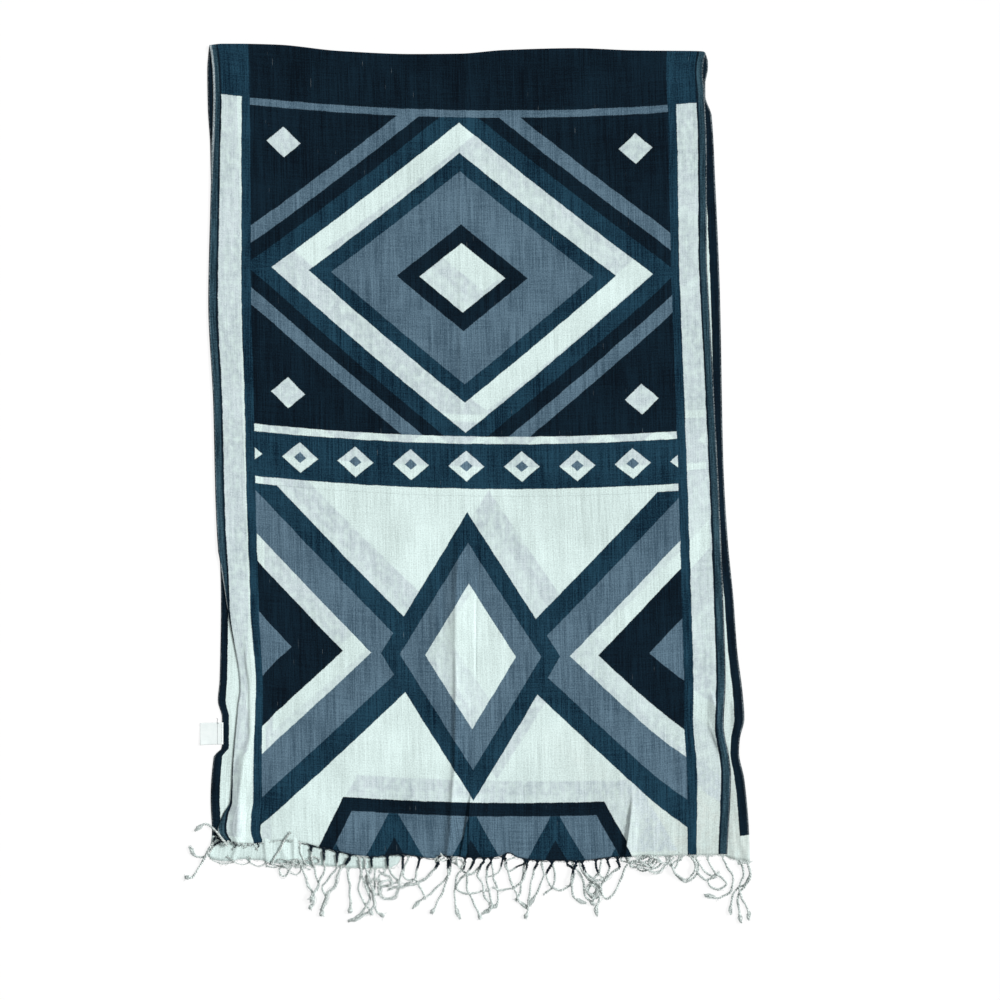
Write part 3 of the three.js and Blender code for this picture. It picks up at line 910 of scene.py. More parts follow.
LOWER_CORDS = [
    tassel((-284, -409), (-279, -416.5), (-270, -419), (-262, -418.5), (-258, -415.5), (-262, -413),
        thick=0.5, gather=0.6, fan=1.4, frizz=1),
    tassel((-257, -414), (-254.5, -418), (-248, -420.3), (-243, -418.5), (-240, -414.5), thick=0.5,
        gather=0.6, fan=1.2),
    tassel((-240, -415), (-237.5, -419), (-231, -421.8), (-225, -420.5), (-221.5, -416.5),
        (-216, -419), thick=0.55, gather=0.6, fan=1.2, frizz=1),
    tassel((-218, -416), (-211, -421), (-203, -421.5), (-198, -417.5), (-201, -414), (-208, -415),
        thick=0.55, gather=0.6, fan=1.2, frizz=1),
    tassel((-199, -417), (-193, -421.5), (-186, -421), (-182, -417), (-186, -414), (-192, -417.5),
        thick=0.55, gather=0.6, fan=1.2, frizz=1),
    tassel((-222, -415), (-212, -423), (-203, -421), (-195, -416), (-186, -419), (-177, -424),
        thick=0.65, frizz=4),
    tassel((-205, -416), (-198, -421), (-190, -422), (-183, -418), (-188, -414), (-195, -416),
        thick=0.6, gather=0.6, fan=1.4, frizz=4),
    tassel((-215, -417), (-212, -412), (-204, -399.5), (-199, -389), (-197, -386), thick=0.9,
        gather=1.0, fan=2.5),
    tassel((-195, -417), (-206, -424), (-205, -432), (-199, -432), (-197, -425), (-204, -419),
        thick=0.75, frizz=2),
    tassel((-189, -418), (-184, -423), (-184, -428), (-190, -431), (-196, -427), (-191, -420),
        thick=0.5, frizz=2),
    tassel((-183, -416), (-176, -420), (-168, -421), (-162, -416), (-168, -412), (-176, -415),
        thick=0.7, frizz=4),
    tassel((-181, -418), (-181, -425), (-175, -443), (-170, -452), (-168, -461), (-172, -466),
        end="knot", frizz=3),
    tassel((-131, -423), (-129, -446), (-128, -470), end="knot", thick=1.2),
    tassel((-116, -425), (-119, -443), (-117, -455), (-110, -466), (-106, -473), end="knot"),
    tassel((-101, -424), (-102, -448), (-103, -460), (-99, -471), (-94, -476), end="knot"),
    tassel((-90, -422), (-97, -434), (-93, -444), (-84, -441), (-85, -433), (-95, -429), frizz=6),
    tassel((-64, -419), (-70, -428), (-66, -436), (-57, -437), (-50, -446), (-47, -455)),
    tassel((20, -418), (13, -425), (3, -431), (-6, -424), (-16, -416)),
    tassel((8, -418), (4, -425), (1, -433), (2, -449), (9, -463), (15, -477), end="knot"),
    tassel((28, -418), (31, -435), (36, -454), (33, -465), (27, -468), end="brush"),
    tassel((65, -417), (62, -437), (60, -450), (57, -457)),
    tassel((84, -416), (86, -432), (80, -448), (71, -464), end="brush"),
    tassel((96, -416), (99, -432), (95, -446), (88, -452)),
    tassel((126, -415), (131, -431), (138, -438), (149, -437), thick=0.9),
    tassel((118, -416), (128, -432), (131, -446), (133, -457), (140, -462), end="knot", frizz=3),
    tassel((150, -414), (147, -428), (139, -441), (136, -451), (142, -458), (150, -453),
        (148, -444), (140, -441), thick=0.9, frizz=4),
    tassel((172, -413), (182, -418), (193, -415), (202, -411), (204, -417), (196, -422),
        (187, -418), thick=0.8),
    tassel((178, -412), (185, -418), (194, -414), (201, -409), (209, -413), (203, -420),
        (194, -417), frizz=3),
    tassel((192, -411), (199, -420), (209, -424), (216, -418), (210, -411), (202, -415),
        (206, -423)),
    tassel((222, -411), (230, -424), (235, -417), (237, -410), thick=0.8),
    tassel((205, -411), (196, -417), (189, -423), (198, -427), (208, -421), (214, -414),
        (206, -411), thick=0.8),
    tassel((226, -411), (228, -421), (233, -431), (242, -439), (250, -437), (257, -428),
        (258, -418), thick=0.9),
    tassel((252, -411), (258, -430), (266, -437), (274, -434), end="knot"),
    tassel((302, -413), (312, -418), (315, -429), (311, -440), (302, -446), (296, -454),
        (294, -465), (294, -474), end="brush"),
    tassel((313, -415), (315, -431), (310, -443), (303, -451), (302, -465), (304, -477),
        (305, -483), thick=1.15, end="brush"),
    tassel((306, -414), (308, -430), (303, -445), (305, -455), (310, -464), (313, -473),
        (314, -480), end="brush"),
]


class Pile:
    """The height of all that is laid so far, read and raised as each cord goes down."""

    CELL = 0.5
    LEFT, RIGHT, LOW, HIGH = -325.0, 325.0, -500.0, -360.0
    BED = 0.92  # a cord's middle rests this part of its radius over the pile
    CROWN = 0.7  # and the next cord beds into it down to this part

    def __init__(self):
        xs = np.arange(self.LEFT, self.RIGHT, self.CELL)
        ys = np.arange(self.LOW, self.HIGH, self.CELL)
        x, y = np.meshgrid(xs, ys)
        half_cloth = CLOTH_THICK / 2.0
        lower_top = LOWER_HEIGHT + LOWER_RIPPLE * (swell(x, y) + 0.5) + half_cloth
        lower_top = lower_top + crease_height(LOWER_CREASES_DOWN, x, y)
        upper_top = UPPER_HEIGHT + upper_lie(x, y) + half_cloth
        self.top = np.zeros_like(x)
        for left, right, hem, top in (
            (LOWER_LEFT, LOWER_RIGHT, LOWER_HEM, lower_top),
            (UPPER_LEFT, UPPER_RIGHT, UPPER_HEM, upper_top),
        ):
            on_cloth = (y > follow(hem, x)) & (x > follow(left, y)) & (x < follow(right, y))
            self.top = np.where(on_cloth, top, self.top)

    def cells(self, x, y):
        column = np.clip(((x - self.LEFT) / self.CELL).astype(int), 0, self.top.shape[1] - 1)
        row = np.clip(((y - self.LOW) / self.CELL).astype(int), 0, self.top.shape[0] - 1)
        return row, column

    def lay(self, route, radius, step):
        """Rest a cord on the pile, as flat as it can lie, and add it to the pile."""
        ring = [(0.0, 0.0)]
        for reach in (0.5, 0.9):
            for turn in range(8):
                angle = turn * math.pi / 4.0
                ring.append((reach * radius * math.cos(angle), reach * radius * math.sin(angle)))
        found = [self.top[self.cells(route[:, 0] + dx, route[:, 1] + dy)] for dx, dy in ring]
        height = np.max(found, axis=0) + radius * self.BED
        # Where it crosses others it comes down at a slope, on both sides.
        for order in (range(1, len(height)), range(len(height) - 2, -1, -1)):
            for i in order:
                before = i - 1 if order.step > 0 else i + 1
                height[i] = max(height[i], height[before] - STEEPEST * step)
        soft = np.convolve(np.pad(height, 2, mode="edge"), np.ones(5) / 5.0, mode="valid")
        height = np.maximum(soft, height - 0.15)
        for dx, dy in ring:
            row, column = self.cells(route[:, 0] + dx, route[:, 1] + dy)
            np.maximum.at(self.top, (row, column), height + radius * self.CROWN)
        return height


def lengths_walked(line):
    """How far along a line each of its points lies."""
    return np.concatenate([[0.0], np.cumsum(np.linalg.norm(np.diff(line, axis=0), axis=1))])


def unit(arrows):
    return arrows / (np.linalg.norm(arrows, axis=1)[:, None] + 1e-9)


def headings(line):
    """Which way a line runs at each of its points."""
    return unit(np.gradient(line, axis=0))


def walk(route, step):
    """A soft line through the places of a route, in even steps."""
    route = np.array(route, float)
    padded = np.vstack([2.0 * route[0] - route[1], route, 2.0 * route[-1] - route[-2]])
    share = np.linspace(0.0, 1.0, 16, endpoint=False)[:, None]
    line = []
    for i in range(len(route) - 1):
        before, start, end, after = padded[i : i + 4]
        heading = end - before
        bend = 2.0 * before - 5.0 * start + 4.0 * end - after
        unbend = 3.0 * start - before - 3.0 * end + after
        line.append(0.5 * (2.0 * start + heading * share + bend * share**2 + unbend * share**3))
    line = np.vstack([*line, route[-1:]])
    walked = lengths_walked(line)
    places = np.arange(0.0, walked[-1], step)
    return np.stack([np.interp(places, walked, line[:, axis]) for axis in range(line.shape[1])], -1)


class Stock:
    """Strands of yarn collected into one mesh, each with its ink and its own map."""

    TABLE_GAP = 0.02  # no strand goes lower

    def __init__(self):
        self.points, self.faces, self.inks, self.map = [], [], [], []
        self.count = 0

    def strand(self, centre, radius, sides, ink):
        along = headings(centre)
        normal = np.cross(along[0], (0.0, 0.0, 1.0))
        if np.linalg.norm(normal) < 0.1:
            normal = np.cross(along[0], (0.0, 1.0, 0.0))
        normals = np.empty_like(along)
        for i, direction in enumerate(along):
            normal = normal - direction * normal.dot(direction)
            normal = normal / (np.linalg.norm(normal) + 1e-9)
            normals[i] = normal
        binormals = np.cross(along, normals)
        angle = np.arange(sides) * 2.0 * np.pi / sides
        radius = np.broadcast_to(radius, (len(centre),))[:, None, None]
        ring = np.cos(angle)[None, :, None] * normals[:, None]
        ring = ring + np.sin(angle)[None, :, None] * binormals[:, None]
        points = centre[:, None] + radius * ring
        points[:, :, 2] = np.maximum(points[:, :, 2], self.TABLE_GAP)
        rings = len(centre)
        index = self.count + np.arange(rings * sides).reshape(rings, sides)
        turned = np.roll(index, -1, axis=1)
        quads = np.stack([index[:-1], turned[:-1], turned[1:], index[1:]], axis=-1).reshape(-1, 4)
        self.faces += quads.tolist()
        self.faces += [index[0, ::-1].tolist(), index[-1].tolist()]
        self.points.append(points.reshape(-1, 3))
        self.inks.append(np.repeat(np.broadcast_to(ink, (rings, 3)), sides, axis=0))
        map_start = self.count % 97  # so that no two strands are streaked alike
        along_map = np.repeat(lengths_walked(centre)[:, None] + map_start, sides, axis=1)
        around_map = np.broadcast_to(np.abs(angle - np.pi)[None, :], (rings, sides))
        self.map.append(np.stack([around_map, along_map], axis=-1).reshape(-1, 2))
        self.count += rings * sides

    def piece(self, name, material):
        mesh = new_mesh(name, np.vstack(self.points), self.faces, {"yarn": np.vstack(self.map)})
        tint = mesh.color_attributes.new(name="ink", type="FLOAT_COLOR", domain="POINT")
        shade = np.hstack([np.vstack(self.inks), np.ones((self.count, 1))])
        tint.data.foreach_set("color", shade.astype(np.float32).reshape(-1))
        mesh.materials.append(material)
        return link_piece(name, mesh)


def hem_ink(hem, x, inked):
    """The ink of the print's foot, which has run down into the cords' first stretch."""
    left, right = hem[0][0], hem[-1][0]
    side = ((x - left) / (right - left) * 2.0 - 1.0) * HALF_WIDTH
    return np.array([1.0 if FOOT_BAND[0] < side < FOOT_BAND[1] else 0.0, 0.0, 0.0]) * inked


def hem_end(hems, x):
    """Where the cloth ends at x: at the hem that reaches further."""
    return min(float(follow(hem, np.array([x]))[0]) for hem in hems)


def make_cord(stock, pile, cord, hems, height_at, inked, luck):
    """Ply one cord along its route, gather it from the hem, and finish its tip."""
    start_x = float(cord["route"][0][0])
    ink = hem_ink(hems[0], start_x, inked)
    ink[0] = cord.get("black", ink[0])
    thick = cord.get("thick", 1.0)
    gather = cord.get("gather", HEM_GATHER)
    line = walk([(start_x, hem_end(hems, start_x) - gather), *cord["route"][1:]], CORD_STEP)
    places = np.arange(len(line)) * CORD_STEP
    waver = luck.uniform(0.0, 6.28, 2)
    line[:, 0] += 0.45 * np.sin(places / 3.1 + waver[0]) * ease(2.0, 10.0, places)
    line[:, 1] += 0.35 * np.sin(places / 2.3 + waver[1]) * ease(2.0, 10.0, places)
    height = pile.lay(line, CORD_RADIUS * thick, CORD_STEP)
    centre = np.column_stack([line, height])

    # The dip is how far down the cord the ink has run.
    dip = cord.get("dip", luck.uniform(7.5, 13.5))
    wet = np.clip((dip - places) / 3.0, 0.0, 1.0)[:, None] * luck.uniform(0.95, 1.0)
    inks = ink[None, :] * wet
    along = headings(centre)
    across = unit(np.cross(along, (0.0, 0.0, 1.0)))
    up = np.cross(across, along)
    twist = places / (TWIST_LENGTH * luck.uniform(0.9, 1.15)) * 2.0 * np.pi
    twist = twist + luck.uniform(0.0, 6.28)
    stub = 0.14 * float(ink.max()) * np.clip((dip + 1.0 - places) / 4.0, 0.0, 1.0)
    plump = thick * (1.0 + 0.12 * np.sin(places / 4.7 + waver[1]) + stub)
    opened = PLY_OFFSET * plump * (1.0 + 0.9 * np.exp(-places / 2.0))
    for ply, wetness in ((0.0, 1.0), (np.pi, luck.uniform(0.8, 1.0))):
        turn = twist + ply
        offset = np.cos(turn)[:, None] * across + np.sin(turn)[:, None] * up
        yarn = centre + offset * opened[:, None]
        stock.strand(yarn, radius=PLY_RADIUS * plump, sides=6, ink=inks * wetness)

    # Warp ends fan in from the hem to the start of the cord.
    here = centre[0]
    fan = luck.uniform(4.4, 6.4) * min(1.0, thick)
    fan = cord.get("fan", fan)
    for thread in range(FAN_THREADS):
        reach = (thread / (FAN_THREADS - 1) - 0.5) * 2.0 * fan * luck.uniform(0.8, 1.1)
        x = start_x + reach
        y = hem_end(hems, x) + 0.8
        z = float(height_at(np.array([x]), np.array([y]))[0])
        middle = np.array([blend(x, here[0], 0.78), blend(y, here[1], 0.2), z])
        start, end = np.array([x, y, z]), here + np.array([0.0, -1.5, 0.0])
        share = np.linspace(0.0, 1.0, 6)[:, None]
        bow = (1 - share) ** 2 * start + 2 * share * (1 - share) * middle + share**2 * end
        stock.strand(bow, radius=0.3, sides=4, ink=ink)

    # Some cords have come apart, and a web of fine strands hangs about them.
    for _ in range(cord.get("frizz", 0)):
        phase = luck.uniform(0.0, 6.28, 3)
        swing = np.sin(places / luck.uniform(2.6, 4.4) + phase[0]) + np.sin(places / 6.3 + phase[1])
        apart = swing * luck.uniform(0.9, 1.7) * ease(5.0, 14.0, places)
        lift = (0.5 + 0.5 * np.sin(places / 3.7 + phase[2])) * 1.1
        strand = centre + across * apart[:, None] + up * lift[:, None]
        stock.strand(strand[::2], radius=0.22, sides=4, ink=inks[::2])

    # Loose fibres stand off the cord all along.
    place = luck.uniform(8.0, 12.0)
    while place < places[-1]:
        i = int(place / CORD_STEP)
        away = across[i] * luck.choice([-1.0, 1.0]) * luck.uniform(0.5, 1.0)
        share = np.linspace(0.0, 1.0, 4)[:, None]
        reach = luck.uniform(1.6, 3.4)
        fibre = centre[i] + (away + along[i] * luck.normal(0.0, 0.7)) * reach * share
        fibre = fibre + along[i] * luck.normal(0.0, 1.3) * share**2
        stock.strand(fibre, radius=0.13, sides=3, ink=inks[i])
        place += luck.uniform(1.3, 3.8)

    finish_tip(stock, centre, along, thick, cord.get("end", "plain"), luck)


def finish_tip(stock, centre, along, thick, kind, luck):
    """A round knot or a combed-out brush of the cord's own yarn, with short loose fibres."""
    tip, onward = centre[-1], along[-1]
    across = np.cross(onward, (0.0, 0.0, 1.0))
    up = np.cross(across, onward)
    bare = np.zeros(3)
    if kind == "knot":
        share = np.linspace(0.0, 1.0, 56)
        turn = share * 2.0 * np.pi * KNOT_TURNS
        spread = 2.05 * thick * np.sin(np.pi * (0.1 + 0.82 * share**1.3))
        coil = tip + onward * (6.4 * share - 2.6)[:, None]
        coil = coil + (np.cos(turn) * spread)[:, None] * across
        coil = coil + (np.sin(turn) * spread)[:, None] * up
        stock.strand(coil, radius=0.74 * thick, sides=5, ink=bare)
    if kind == "brush":
        for _ in range(BRUSH_FIBRES):
            first = max(0, len(centre) - int(luck.uniform(6.0, 12.0) / CORD_STEP))
            run = centre[first::2]
            share = np.linspace(0.0, 1.0, len(run))[:, None]
            sideways, lift = luck.uniform(-2.5, 2.5), luck.uniform(-0.4, 1.2)
            belly = np.sin(np.pi * (0.08 + 0.7 * share))
            wave = 0.3 * np.sin(share * luck.uniform(5.0, 9.0) + luck.uniform(0.0, 6.28))
            fibre = run + across * (sideways * belly + wave) + up * lift * share
            ahead = onward + across * (luck.normal(0.0, 0.12) - sideways * 0.1)
            steps = np.array([0.35, 0.7, 1.0])[:, None] * luck.uniform(1.0, 3.6)
            fibre = np.vstack([fibre, fibre[-1] + ahead * steps])
            stock.strand(fibre, radius=np.linspace(0.42, 0.24, len(fibre)), sides=4, ink=bare)
        return
    # How many loose fibres the tip has, how long they are, and how widely they spread.
    fibres, longest, swings = {"plain": (12, 4.2, 0.3), "knot": (20, 3.4, 0.5)}[kind]
    for _ in range(fibres):
        length = longest * luck.uniform(0.4, 1.0)
        share = np.linspace(0.0, 1.0, 6)[:, None]
        heading = onward + across * luck.normal(0.0, swings) + up * luck.normal(0.0, 0.16)
        start = across * luck.uniform(-0.9, 0.9) * thick + onward * (1.6 if kind == "knot" else 0.4)
        fibre = tip + start + heading * length * share
        fibre = fibre + across * luck.normal(0.0, 0.3) * length * share**2
        stock.strand(fibre, radius=np.linspace(0.34, 0.18, 6), sides=4, ink=bare)


def fray_hem(stock, hem, height_at, inked, luck):
    """The last weft threads, pushed together along the cut hem, and short loose ends."""
    left, right = hem[0][0], hem[-1][0]
    for thread in range(2):
        x = np.arange(left + 1.0, right - 1.0, 1.5)
        waver = luck.uniform(0.0, 6.28, 3)
        y = follow(hem, x) + 0.35 * thread - 0.3
        y = y + 0.5 * np.sin(x / 2.9 + waver[0]) + 0.6 * np.sin(x / 9.7 + waver[1])
        z = height_at(x, y) + 0.2 * np.sin(x / 4.3 + waver[2])
        inks = np.array([hem_ink(hem, place, inked) for place in x])
        stock.strand(np.column_stack([x, y, z]), radius=0.2, sides=4, ink=inks)
    x = left + 2.0
    while x < right - 2.0:
        y = float(follow(hem, np.array([x]))[0])
        length = luck.uniform(0.5, 2.4)
        lean = luck.normal(0.0, 0.8)
        share = np.linspace(0.0, 1.0, 4)[:, None]
        start = np.array([x, y + 0.5, float(height_at(np.array([x]), np.array([y]))[0])])
        fibre = start + np.array([lean * length, -length - 0.5, -0.1]) * share
        ink = hem_ink(hem, x, inked) * luck.choice([0.9, 0.9, 0.0])
        ink[0] = max(ink[0], inked * luck.choice([0.0, 0.0, 0.0, 0.8]))
        stock.strand(fibre, radius=0.17, sides=3, ink=ink)
        x += luck.uniform(0.7, 1.7)


def yarn_material():
    """Plied yarn of uneven fibres, inked by the print near the hem and bare past it. Its grey
    end is painted shade between the fibres and plies.
    """
    material, tree, shader = new_material("plied_yarn", {
        "Specular IOR Level": 0.06,
        "Sheen Weight": 0.05,
        "Sheen Roughness": 0.6,
    })
    place = piece_map(tree, "yarn")
    fibre = noise(tree, place, 0.9, 1.6, 2.0, 11.0) - 0.5
    slow = noise(tree, place, 9.0, 14.0, 1.0, 12.0) - 0.5
    streak = fibre * 3.4 + slow * 1.3 + 0.55
    tint = tree.nodes.new("ShaderNodeAttribute")
    tint.attribute_name = "ink"
    inks = separate(tree, "Color", tint.outputs["Color"])
    # The yarn's tone runs from a grey, which is painted shade between its fibres and plies, to a
    # pale white.
    colour = mix_colours(tree, streak, from_srgb(132, 143, 142), from_srgb(241, 250, 247))
    for ink, name in zip(inks, ("black", "petrol", "grey_blue")):
        share = ink * (fibre + 1.12)
        colour = mix_colours(tree, share, colour, shade_pair(tree, name, streak))
    tree.links.new(colour, shader.inputs["Base Color"])
    tree.links.new((fibre * 0.2 + 0.9).socket, shader.inputs["Roughness"])
    add_bump(tree, shader, fibre + 0.5, full_height=0.25, strength=0.8)
    return material


def lower_hem_height(x, y):
    return LOWER_HEIGHT + 0.1 + crease_height(LOWER_CREASES_DOWN, x, y)


pile = Pile()
plied_yarn = yarn_material()
luck = np.random.default_rng(41)


def make_fringe(name, cords, hems, height_at, inked):
    """All the cords of one half, which start from the first of the hems, and its frayed hem."""
    stock = Stock()
    for cord in cords:
        make_cord(stock, pile, cord, hems, height_at, inked, luck)
    fray_hem(stock, hems[0], height_at, inked, luck)
    return stock.piece(name, plied_yarn)


lower_tassels = make_fringe(
    "lower_tassels", LOWER_CORDS, (LOWER_HEM, UPPER_HEM), lower_hem_height, inked=0.0,
)
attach(lower_tassels, "root")
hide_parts("lower_fringe")


# The upper half's fringe is made like the lower one, and lies across it. Its cords hang over
# the lower half's hem, and some turn back on themselves or cross their neighbours.
UPPER_CORDS = [
    tassel((-254, -395.5), (-251, -399.5), (-248, -397), (-246, -400.5), (-241, -398), thick=0.3,
        gather=1.0, frizz=2, black=0.6, fan=1.0),
    tassel((-184, -396), (-183, -408), (-179, -417), (-172, -422), thick=0.6),
    tassel((-270, -391), (-277, -390), (-281.5, -396), (-285, -403), (-291, -411), (-299, -411),
        (-306, -402), end="brush", black=1.0, gather=0.0, fan=1.2, dip=16.0),
    tassel((-266, -393), (-272, -393.5), (-278, -398.5), (-283, -404), (-290, -413), (-297, -424),
        (-303, -434), (-309, -434), end="knot", black=1.0, gather=0.5, fan=1.2, dip=17.0),
    tassel((-264, -393), (-276, -384), (-289, -375), (-299, -381), end="brush", fan=1.5),
    tassel((-172, -399), (-171, -411), (-168, -425), (-164, -443), (-168, -452), (-171, -459),
        end="knot", dip=5.0),
    tassel((-158, -401), (-157, -424), (-161, -436), (-166, -446), (-172, -456)),
    tassel((-143, -405), (-144, -424), (-157, -441), (-159, -447), (-156, -456), (-160, -468)),
    tassel((-129, -408), (-134, -420), (-140, -425), (-145, -443), (-153, -452), (-157, -465),
        (-160, -474), end="knot", thick=1.2, frizz=7),
    tassel((-105, -411), (-105, -425), (-111, -436), (-106, -449), (-97, -452), (-94, -443),
        (-100, -436), (-107, -439), frizz=6),
    tassel((-87, -410), (-86, -424), (-80, -433), (-74, -442), (-78, -454), (-89, -458),
        (-97, -450), (-95, -440), (-87, -437), frizz=6),
    tassel((-118, -411), (-117, -424), (-113, -440), (-107, -456), (-115, -473), (-122, -479),
        end="brush", frizz=4, black=0.0),
    tassel((-112, -411), (-110, -428), (-104, -446), (-101, -462), (-108, -472), (-119, -479),
        (-128, -482), end="brush", thick=1.15, frizz=3, black=0.0),
    tassel((-70, -410), (-71, -426), (-74, -437), (-84, -442), frizz=3),
    tassel((-52, -412), (-54, -424), (-57, -436), (-66, -441)),
    tassel((-32, -413), (-31, -419), (-38, -428), (-44, -435), (-57, -441), (-73, -444),
        (-85, -447), thick=1.2, frizz=3),
    tassel((-17, -409), (-19, -431), (-29, -442), (-40, -453), (-47, -457), (-58, -467),
        end="brush"),
    tassel((-20, -409), (-20, -431), (-25, -448), (-34, -466), (-37, -472), end="knot"),
    tassel((-1, -410), (-3, -424), (-9, -431), (-12, -443), (-12, -463), (-8, -478), end="brush"),
    tassel((9, -411), (5, -424), (-4, -434), (-11, -446), (2, -452), (21, -449)),
    tassel((20, -412), (16, -421), (13, -432), (18, -441), (21, -456), (25, -462)),
    tassel((28, -412), (23, -426), (24, -443), (28, -459), (27, -468), (20, -474), end="brush"),
    tassel((41, -408), (38, -424), (33, -431), (24, -433), thick=0.8),
    tassel((43, -407), (46, -424), (49, -437), (53, -445), (57, -456), (62, -464), (68, -468),
        end="brush"),
    tassel((66, -411), (58, -422), (47, -427), (43, -418), (51, -413), thick=0.8),
    tassel((68, -412), (67, -424), (64, -435), (54, -445), (38, -448), (32, -446)),
    tassel((79, -415), (75, -428), (71, -448), (69, -465), (67, -476), end="knot"),
    tassel((95, -415), (89, -432), (94, -443), (102, -448), (110, -447), (117, -441), (119, -434)),
    tassel((112, -415), (118, -424), (120, -433), (116, -441), thick=0.9),
    tassel((122, -415), (118, -428), (117, -442), (119, -454), (126, -461), (131, -462),
        end="brush"),
    tassel((129, -415), (134, -430), (145, -440), (142, -452), (134, -450), (136, -442),
        (146, -446), (148, -458), (144, -469), (145, -475), end="brush", frizz=3),
    tassel((144, -414), (145, -426), (150, -433), thick=0.9),
    tassel((157, -413), (159, -424), (155, -434), (145, -437), (137, -435), (131, -428)),
    tassel((168, -412), (170, -423), (161, -430), (149, -443), (141, -458), end="brush", frizz=3),
    tassel((181, -411), (174, -430), (169, -443), (162, -454), (156, -458), (151, -452),
        (149, -443)),
    tassel((190, -411), (184, -416), (183, -421), (199, -424), (210, -428), (219, -424),
        (224, -415), frizz=3),
    tassel((211, -411), (216, -417), (223, -419), (229, -414), thick=0.8),
    tassel((239, -410), (231, -417), (229, -425), (238, -434), (246, -436), (253, -428),
        (254, -417), (250, -412)),
    tassel((255, -410), (259, -420), (266, -428), (273, -433), (279, -430), thick=0.9),
    tassel((268, -409), (274, -426), (284, -435), (289, -442), (282, -447), (273, -446),
        (269, -439)),
    tassel((285, -408), (291, -424), (296, -434), (296, -443), (291, -452), (280, -457),
        (267, -454), end="brush"),
    # Bare ends of the tucked pleats curl out from under the hem, and the last ones fill gaps.
    tassel((-31, -409), (-27, -414), (-23, -412), (-26, -409), thick=0.55, black=0.0),
    tassel((-34, -411), (-29, -413), (-25, -416), (-20, -413), thick=0.5, black=0.0),
    tassel((-15, -410), (-10, -414), (-4, -418), (-6, -423), (-11, -419), thick=0.55, black=0.0),
    tassel((-11, -410), (-5, -414), (-2, -419), (-7, -423), (-10, -416), thick=0.5, black=0.0),
    tassel((-257.5, -396), (-255, -399), (-257, -401), thick=0.45, gather=0.3, fan=1.2, black=0.9),
    tassel((-231.5, -396), (-229.5, -399), (-231, -401), thick=0.4, gather=0.3, fan=1.2, black=0.9),
    tassel((-242, -396), (-239, -399.5), (-236, -397.5), (-233, -400), thick=0.3, gather=0.5,
        fan=1.0, black=0.4, frizz=1),
]


def upper_hem_height(x, y):
    return UPPER_HEIGHT + upper_lie(x, y)


upper_tassels = make_fringe(
    "upper_tassels", UPPER_CORDS, (UPPER_HEM,), upper_hem_height, inked=1.0,
)
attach(upper_tassels, "root")
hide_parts("upper_fringe")


# The care label is a folded piece of white satin tape, sewn into the lower half's left
# selvedge with a few short stitches. It is bare on both sides.
LABEL = {"left": -295.2, "right": -269.4, "top": -262.2, "bottom": -286.6}
LABEL_HEIGHT = 0.22  # of the tape's lower layer on the table
LABEL_RISE = 0.42  # from the lower layer to the upper one
SELVEDGE_STEP = 0.48  # from the table onto the selvedge
TAPE_THICK = 0.22
STITCH_LINE = -270.9
STITCH_PITCH = 3.0
STITCH_RUN = (0.25, -2.1, 0.0)  # what one stitch goes across, down and up


def tape_material():
    """White satin tape with fine ribs."""
    material, tree, shader = new_material("satin_tape", {"Specular IOR Level": 0.25})
    place = piece_map(tree, "tape")
    rib = noise(tree, place, 0.35, 14.0, 1.0, 21.0) - 0.5
    cloud = noise(tree, place, 8.0, 8.0, 2.0, 22.0) - 0.5
    tone = rib * 0.8 + cloud * 1.2 + 0.5
    colour = mix_colours(tree, tone, from_srgb(229, 239, 238), from_srgb(247, 254, 253))
    tree.links.new(colour, shader.inputs["Base Color"])
    tree.links.new((rib * 0.2 + 0.55).socket, shader.inputs["Roughness"])
    add_bump(tree, shader, rib + 0.5, full_height=0.06, strength=0.5)
    return material


def label_height(x, y, layer):
    """How high the tape lies, in its lower layer (0) or its upper one (1). It starts on the
    table, steps up onto the selvedge, and lifts at its near corner."""
    over_cloth = ease(-276.2, -275.4, x) * SELVEDGE_STEP
    free = 1.0 - ease(LABEL["left"], LABEL["left"] + 12.0, x)
    corner = free * ease(-275.0, -287.0, y) * 0.9
    wave = 0.12 * np.sin(y / 4.1 + 0.6) * (1.0 - ease(-284.0, -272.0, x))
    return LABEL_HEIGHT + over_cloth + (LABEL_RISE + corner + wave + 0.12) * layer


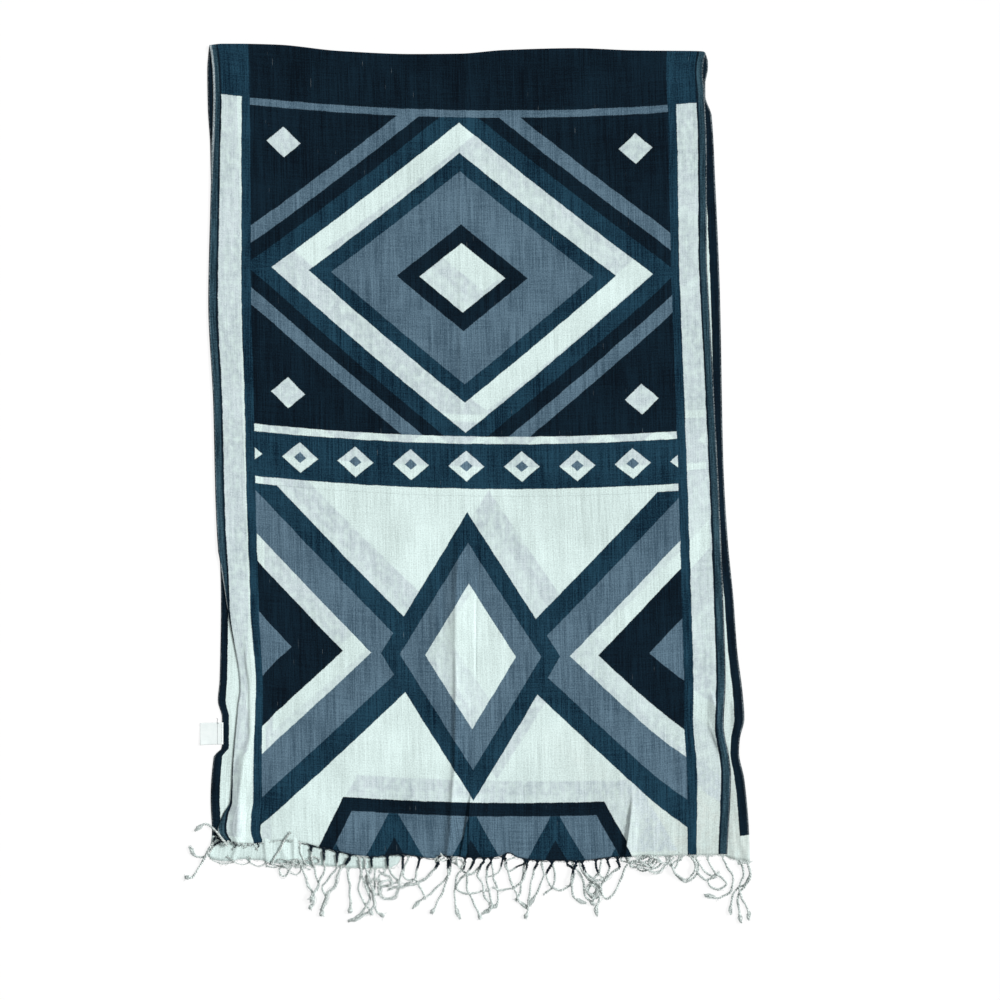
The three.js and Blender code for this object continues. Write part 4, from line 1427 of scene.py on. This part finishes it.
def make_label():
    length = LABEL["right"] - LABEL["left"]
    turn = LABEL_RISE / 2.0
    fold_middle = LABEL["left"] + turn
    # The tape runs left under itself, round its fold, and back to the stitching.
    there = thread_lines((0, 18.4, 1.1), (18.4, 20.4, 0.2), (20.4, length - turn, 0.8))
    rounded = np.linspace(0.0, np.pi, 7)[1:-1]
    under_x = LABEL["right"] - there
    over_x = fold_middle + there
    x = np.concatenate([under_x, fold_middle - turn * np.sin(rounded), over_x])
    skew = (x - LABEL["right"]) * 0.03
    rows = []
    for y in np.linspace(LABEL["top"], LABEL["bottom"], 22):
        low, high = label_height(fold_middle, y, 0.0), label_height(fold_middle, y, 1.0)
        fold_z = low + (high - low) * (1.0 - np.cos(rounded)) / 2.0
        z = np.concatenate([label_height(under_x, y, 0.0), fold_z, label_height(over_x, y, 1.0)])
        rows.append(np.stack([x, np.full_like(x, y) + skew, z]))
    x, y, z = np.stack(rows, axis=1)
    return weave("care_label_tape", x, y, z, {"tape": (y, x)}, tape_material(), TAPE_THICK)


def make_stitches():
    stock = Stock()
    y = LABEL["top"] - 1.8
    while y > LABEL["bottom"] + 2.0:
        share = np.linspace(0.0, 1.0, 7)[:, None]
        stitch = np.array([STITCH_LINE, y, 0.0]) + np.array(STITCH_RUN) * share
        lie = label_height(stitch[:, 0], stitch[:, 1], 1.0)
        stitch[:, 2] = lie + 0.1 + 0.16 * np.sin(np.pi * share[:, 0])
        stock.strand(stitch, radius=0.16, sides=5, ink=np.zeros(3))
        y -= STITCH_PITCH
    # The end of the sewing thread hangs out over the selvedge.
    tail = walk([(-276.6, -257.5), (-275.6, -259.0), (-276.0, -261.5), (-274.6, -264.0)], 0.5)
    on_tape = ease(LABEL["top"] + 3.0, LABEL["top"], tail[:, 1])
    tail_height = blend(0.3, label_height(tail[:, 0], tail[:, 1], 1.0) + 0.35, on_tape)
    tail = np.column_stack([tail, tail_height])
    stock.strand(tail, radius=0.22, sides=5, ink=np.array([1.0, 0.0, 0.0]))
    return stock.piece("care_label_stitches", plied_yarn)


care_label_tape = make_label()
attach(care_label_tape, "root")
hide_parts("care_label")
care_label_stitches = make_stitches()
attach(care_label_stitches, "root")
